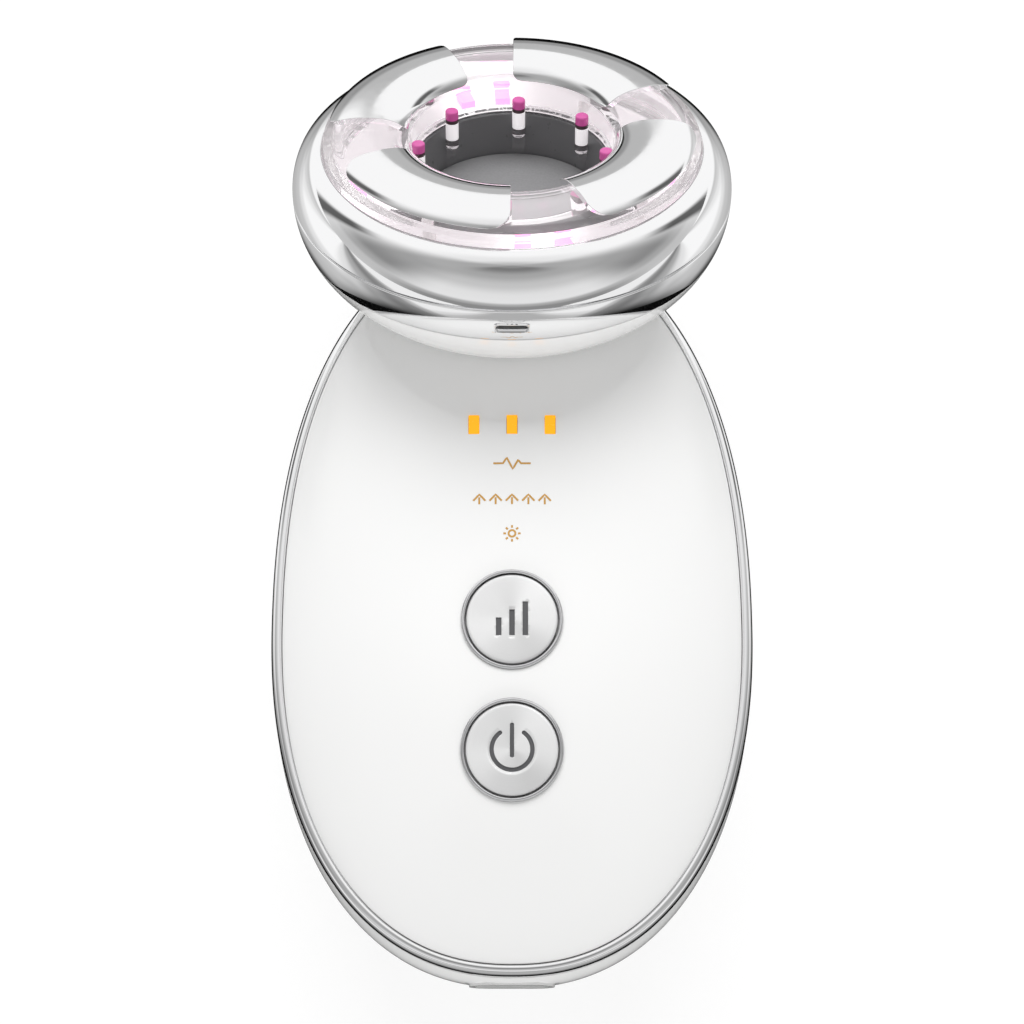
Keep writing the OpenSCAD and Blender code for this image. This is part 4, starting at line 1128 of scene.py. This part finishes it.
def light_path_switch(tree, seen, unseen, rays):
    """A shader that is one thing to the named rays and another to the rest."""
    path = tree.nodes.new("ShaderNodeLightPath")
    total = path.outputs[rays[0]]
    for ray in rays[1:]:
        total = math_node(tree, "MAXIMUM", total, path.outputs[ray])
    mix = tree.nodes.new("ShaderNodeMixShader")
    tree.links.new(total, mix.inputs[0])
    tree.links.new(unseen, mix.inputs[1])
    tree.links.new(seen, mix.inputs[2])
    return mix.outputs[0]


def by_elevation(*stops):
    """Ramp stops from (degrees above the horizon, brightness)."""
    return [((degrees + 90) / 180, value) for degrees, value in stops]


def by_turn(*stops):
    """Ramp stops from (degrees away from the lower end's direction, share)."""
    return [(degrees / 180, value) for degrees, value in stops]


def blend_node(tree, fac, low, high):
    """Mixes two brightnesses."""
    mix = tree.nodes.new("ShaderNodeMix")
    mix.data_type = "RGBA"
    tree.links.new(fac, mix.inputs[0])
    tree.links.new(low, mix.inputs[6])
    tree.links.new(high, mix.inputs[7])
    return mix.outputs[2]


FRONT_TONES = by_elevation(
    (-12, 0.22), (1, 0.27), (5, 0.42), (10, 0.82), (20, 0.8), (40, 0.58), (60, 0.4), (78, 0.2), (86, 0.3)
)
SIDE_TONES = by_elevation((-8, 0.6), (6, 0.55), (12, 0.4), (22, 0.27), (45, 0.37), (60, 0.43), (80, 0.4))
BACK_TONES = by_elevation((0, 1.0), (45, 1.0), (70, 0.85), (88, 0.5))
STREAK_HEIGHT = by_elevation((-28, 0.0), (-10, 1.0), (22, 1.0), (40, 0.0))


def studio_tones(tree):
    """Brightness of the studio by direction: grey towards the lower end, white behind the head."""
    x, y, z = axes_node(tree, "Generated")
    height = math_node(tree, "MULTIPLY_ADD", math_node(tree, "ARCSINE", z), 1 / math.pi, 0.5)
    turn = math_node(tree, "ARCTAN2", x, math_node(tree, "MULTIPLY", y, -1.0))
    turn = math_node(tree, "DIVIDE", math_node(tree, "ABSOLUTE", turn), math.pi)
    front = ramp_node(tree, height, FRONT_TONES)
    side = ramp_node(tree, height, SIDE_TONES)
    back = ramp_node(tree, height, BACK_TONES)
    tones = blend_node(tree, ramp_node(tree, turn, by_turn((35, 0), (72, 1))), front, side)
    tones = blend_node(tree, ramp_node(tree, turn, by_turn((88, 0), (140, 1))), tones, back)
    streak = ramp_node(tree, turn, by_turn((108, 0), (117, 1), (124, 1), (134, 0)))
    streak = math_node(tree, "MULTIPLY", streak, ramp_node(tree, height, STREAK_HEIGHT))
    shade = math_node(tree, "MULTIPLY_ADD", streak, -0.85, 1.0)
    return math_node(tree, "MULTIPLY", tones, shade)


def make_world():
    """A white surround for the eye and as light, with the studio's tones in what shines."""
    world = bpy.data.worlds.new("studio")
    world.use_nodes = True
    scene.world = world
    tree = world.node_tree
    light = tree.nodes["Background"]
    light.inputs["Color"].default_value = (1, 1, 1, 1)
    light.inputs["Strength"].default_value = 0.52
    seen = tree.nodes.new("ShaderNodeBackground")
    seen.inputs["Color"].default_value = (1, 1, 1, 1)
    shone = tree.nodes.new("ShaderNodeBackground")
    tree.links.new(studio_tones(tree), shone.inputs["Color"])
    out = light_path_switch(tree, seen.outputs[0], light.outputs[0], SEEN_RAYS)
    out = light_path_switch(tree, shone.outputs[0], out, ("Is Glossy Ray",))
    tree.links.new(out, tree.nodes["World Output"].inputs["Surface"])


def matt_material(name, brightness):
    """A matt grey of the studio."""
    material = bpy.data.materials.new(name)
    material.use_nodes = True
    shader = material.node_tree.nodes["Principled BSDF"]
    shader.inputs["Base Color"].default_value = (brightness, brightness, brightness, 1)
    shader.inputs["Roughness"].default_value = 0.9
    shader.inputs["Specular IOR Level"].default_value = 0.0
    return material


def disc(name, centre_y, half_x, half_y, low, high):
    """A flat ellipse of the studio."""
    turns = [math.pi * i / 48 for i in range(96)]
    points = [(half_x * math.cos(a), centre_y + half_y * math.sin(a)) for a in turns]
    return prism(name, points, low, high)


def along(low, high, *stops):
    """Ramp stops from (millimetres, brightness) between two ends."""
    return [((distance - low) / (high - low), value) for distance, value in stops]


FLOOR_NEAR = -140
FLOOR_FAR = 300
FLOOR_REACH = 200
# Painted reflection tones of the floor along Y and across X, seen only in what shines; the dark part near
# the object is painted shade.
PAINTED_FLOOR_DEPTH = along(
    FLOOR_NEAR,
    FLOOR_FAR,
    *((-120, 0.9), (-82, 0.88), (-60, 0.5), (-45, 0.3), (-25, 0.24), (0, 0.42), (20, 0.8)),
    *((35, 1.0), (80, 1.0), (105, 0.85), (130, 0.7), (170, 0.6), (230, 1.0)),
)
PAINTED_FLOOR_SIDE = along(0, FLOOR_REACH, (45, 0.5), (60, 0.58), (75, 0.8), (92, 1.0))
# Painted shade on the floor in what shines, as ellipses: place along Y, half width, half length, brightness
PAINTED_SHADE_PLACES = ((-5, 62, 62, 0.01), (50, 44, 25, 0.12), (100, 46, 45, 0.01))


def floor_painted_reflection(tree):
    """Painted reflection tones of the floor, seen only in what shines: painted shade close to the object,
    grey in front, white beside.
    """
    x, y, _ = axes_node(tree, "Object")
    x = math_node(tree, "MULTIPLY", math_node(tree, "ABSOLUTE", x), 1 / MM)
    y = math_node(tree, "MULTIPLY", y, 1 / MM)
    depth = math_node(tree, "SUBTRACT", y, FLOOR_NEAR)
    depth = math_node(tree, "DIVIDE", depth, FLOOR_FAR - FLOOR_NEAR)
    tones = ramp_node(tree, depth, PAINTED_FLOOR_DEPTH)
    side = ramp_node(tree, math_node(tree, "DIVIDE", x, FLOOR_REACH), PAINTED_FLOOR_SIDE)
    tones = math_node(tree, "MULTIPLY", tones, side)
    for centre_y, half_x, half_y, dark in PAINTED_SHADE_PLACES:
        across = math_node(tree, "DIVIDE", x, half_x)
        down = math_node(tree, "DIVIDE", math_node(tree, "SUBTRACT", y, centre_y), half_y)
        squares = math_node(tree, "MULTIPLY", across, across)
        squares = math_node(tree, "ADD", squares, math_node(tree, "MULTIPLY", down, down))
        reach = math_node(tree, "MULTIPLY", math_node(tree, "SQRT", squares), 0.5)
        tones = math_node(tree, "MULTIPLY", tones, ramp_node(tree, reach, [(0.4, dark), (0.55, 1.0)]))
    return tones


def make_floor():
    """A pale floor that keeps the object's shadow, with painted reflection tones and painted shade close to
    the object in what shines.
    """
    floor = disc("floor", 0, 900, 900, -2.0, -0.02)
    material = matt_material("floor_white", 0.8)
    tree = material.node_tree
    shader = tree.nodes["Principled BSDF"]
    bright = tree.nodes.new("ShaderNodeEmission")
    bright.inputs["Strength"].default_value = 0.9
    seen = tree.nodes.new("ShaderNodeMixShader")
    seen.inputs[0].default_value = 0.72
    tree.links.new(shader.outputs[0], seen.inputs[1])
    tree.links.new(bright.outputs[0], seen.inputs[2])
    lift = tree.nodes.new("ShaderNodeEmission")
    lift.inputs["Strength"].default_value = 0.16
    both = tree.nodes.new("ShaderNodeAddShader")
    tree.links.new(seen.outputs[0], both.inputs[0])
    tree.links.new(lift.outputs[0], both.inputs[1])
    # what shines sees the painted reflection tones and painted shade of the floor
    shone = tree.nodes.new("ShaderNodeEmission")
    tree.links.new(floor_painted_reflection(tree), shone.inputs["Color"])
    out = light_path_switch(tree, both.outputs[0], shader.outputs[0], SEEN_RAYS)
    out = light_path_switch(tree, shone.outputs[0], out, ("Is Glossy Ray",))
    tree.links.new(out, tree.nodes["Material Output"].inputs["Surface"])
    floor.data.materials.append(material)


FLAG_NEAR = 0.6  # distance from the handle's outline
FLAG_AWAY = 7.0
FLAG_FOOT_Z = 0.15
FLAG_LOW_TOP = 12.0
FLAG_HIGH_TOP = 25.0
FLAG_FIRST = -20  # points of the outline where the right flag starts and ends
FLAG_LAST = 44


def make_flags():
    """Black strips along the handle's sides, higher towards the head, seen only in what shines: painted
    shade in place of the shaded floor beside the handle.
    """
    material = matt_material("painted_shade_flag", 0.008)
    inner, outer = (
        outline(HANDLE_HALF_W + off, HANDLE_LOW + off, HANDLE_TOP + off, FLAG_FOOT_Z)
        for off in (FLAG_NEAR, FLAG_AWAY)
    )
    count = FLAG_LAST - FLAG_FIRST
    right = list(range(FLAG_FIRST, FLAG_LAST + 1))
    left = [AROUND // 2 - i for i in right]
    for name, places in (("flag_right", right), ("flag_left", left)):
        points = []
        for k, i in enumerate(places):
            x, y, _ = outer[i]
            top = FLAG_LOW_TOP + (FLAG_HIGH_TOP - FLAG_LOW_TOP) * k / count
            points += [inner[i], outer[i], (x, y, top)]
        flag = make_object(name, points, grid_faces(count + 1, 3, wrap_columns=False))
        flag.data.materials.append(material)
        flag.visible_camera = False
        flag.visible_diffuse = False
        flag.visible_shadow = False
        flag.visible_transmission = False


def make_lamp(name, spot, width, height, power):
    """A soft lamp that points at the middle of the handle and doesn't show in what shines."""
    light = bpy.data.lights.new(name, "AREA")
    light.shape = "RECTANGLE"
    light.size = width
    light.size_y = height
    light.energy = power
    lamp = bpy.data.objects.new(name, light)
    lamp.location = spot
    lamp.rotation_euler = lamp.location.to_track_quat("Z", "Y").to_euler()
    lamp.visible_glossy = False
    scene.collection.objects.link(lamp)


def make_lamps_of_studio():
    """A large soft key behind the head, which shades the panel under it, and a low front fill."""
    make_lamp("key_behind", (0, 0.75, 0.75), 1.0, 0.6, 9.4)
    make_lamp("fill_front", (0, -1.0, 0.18), 1.2, 0.3, 4.3)


# ---- The scene ----

scene.view_settings.view_transform = "Standard"
make_camera()
make_rear_shell()
make_bezel()
make_front_panel()
make_button_ring("mode_ring_body", MODE_Y, "mode_ring")
make_button_ring("power_ring_body", POWER_Y, "power_ring")
make_cap("mode_cap_body", MODE_Y, "mode_button", "mode_cap", mode_cap_metal, mode_symbol_outlines())
make_cap("power_cap_body", POWER_Y, "power_button", "power_cap", power_cap_metal, power_symbol_outlines())
make_lamps()
make_prints()
make_head_bowl()
make_lower_band()
make_shoulder_ring()
make_light_ring()
make_electrode("electrode_back_right", ELECTRODE_TURN)
make_electrode("electrode_back_left", ELECTRODE_TURN + 90)
make_electrode("electrode_front_left", ELECTRODE_TURN + 180)
make_electrode("electrode_front_right", ELECTRODE_TURN + 270)
make_suction_cup()
make_posts()
dress_nodes()
make_world()
make_floor()
make_flags()
make_lamps_of_studio()
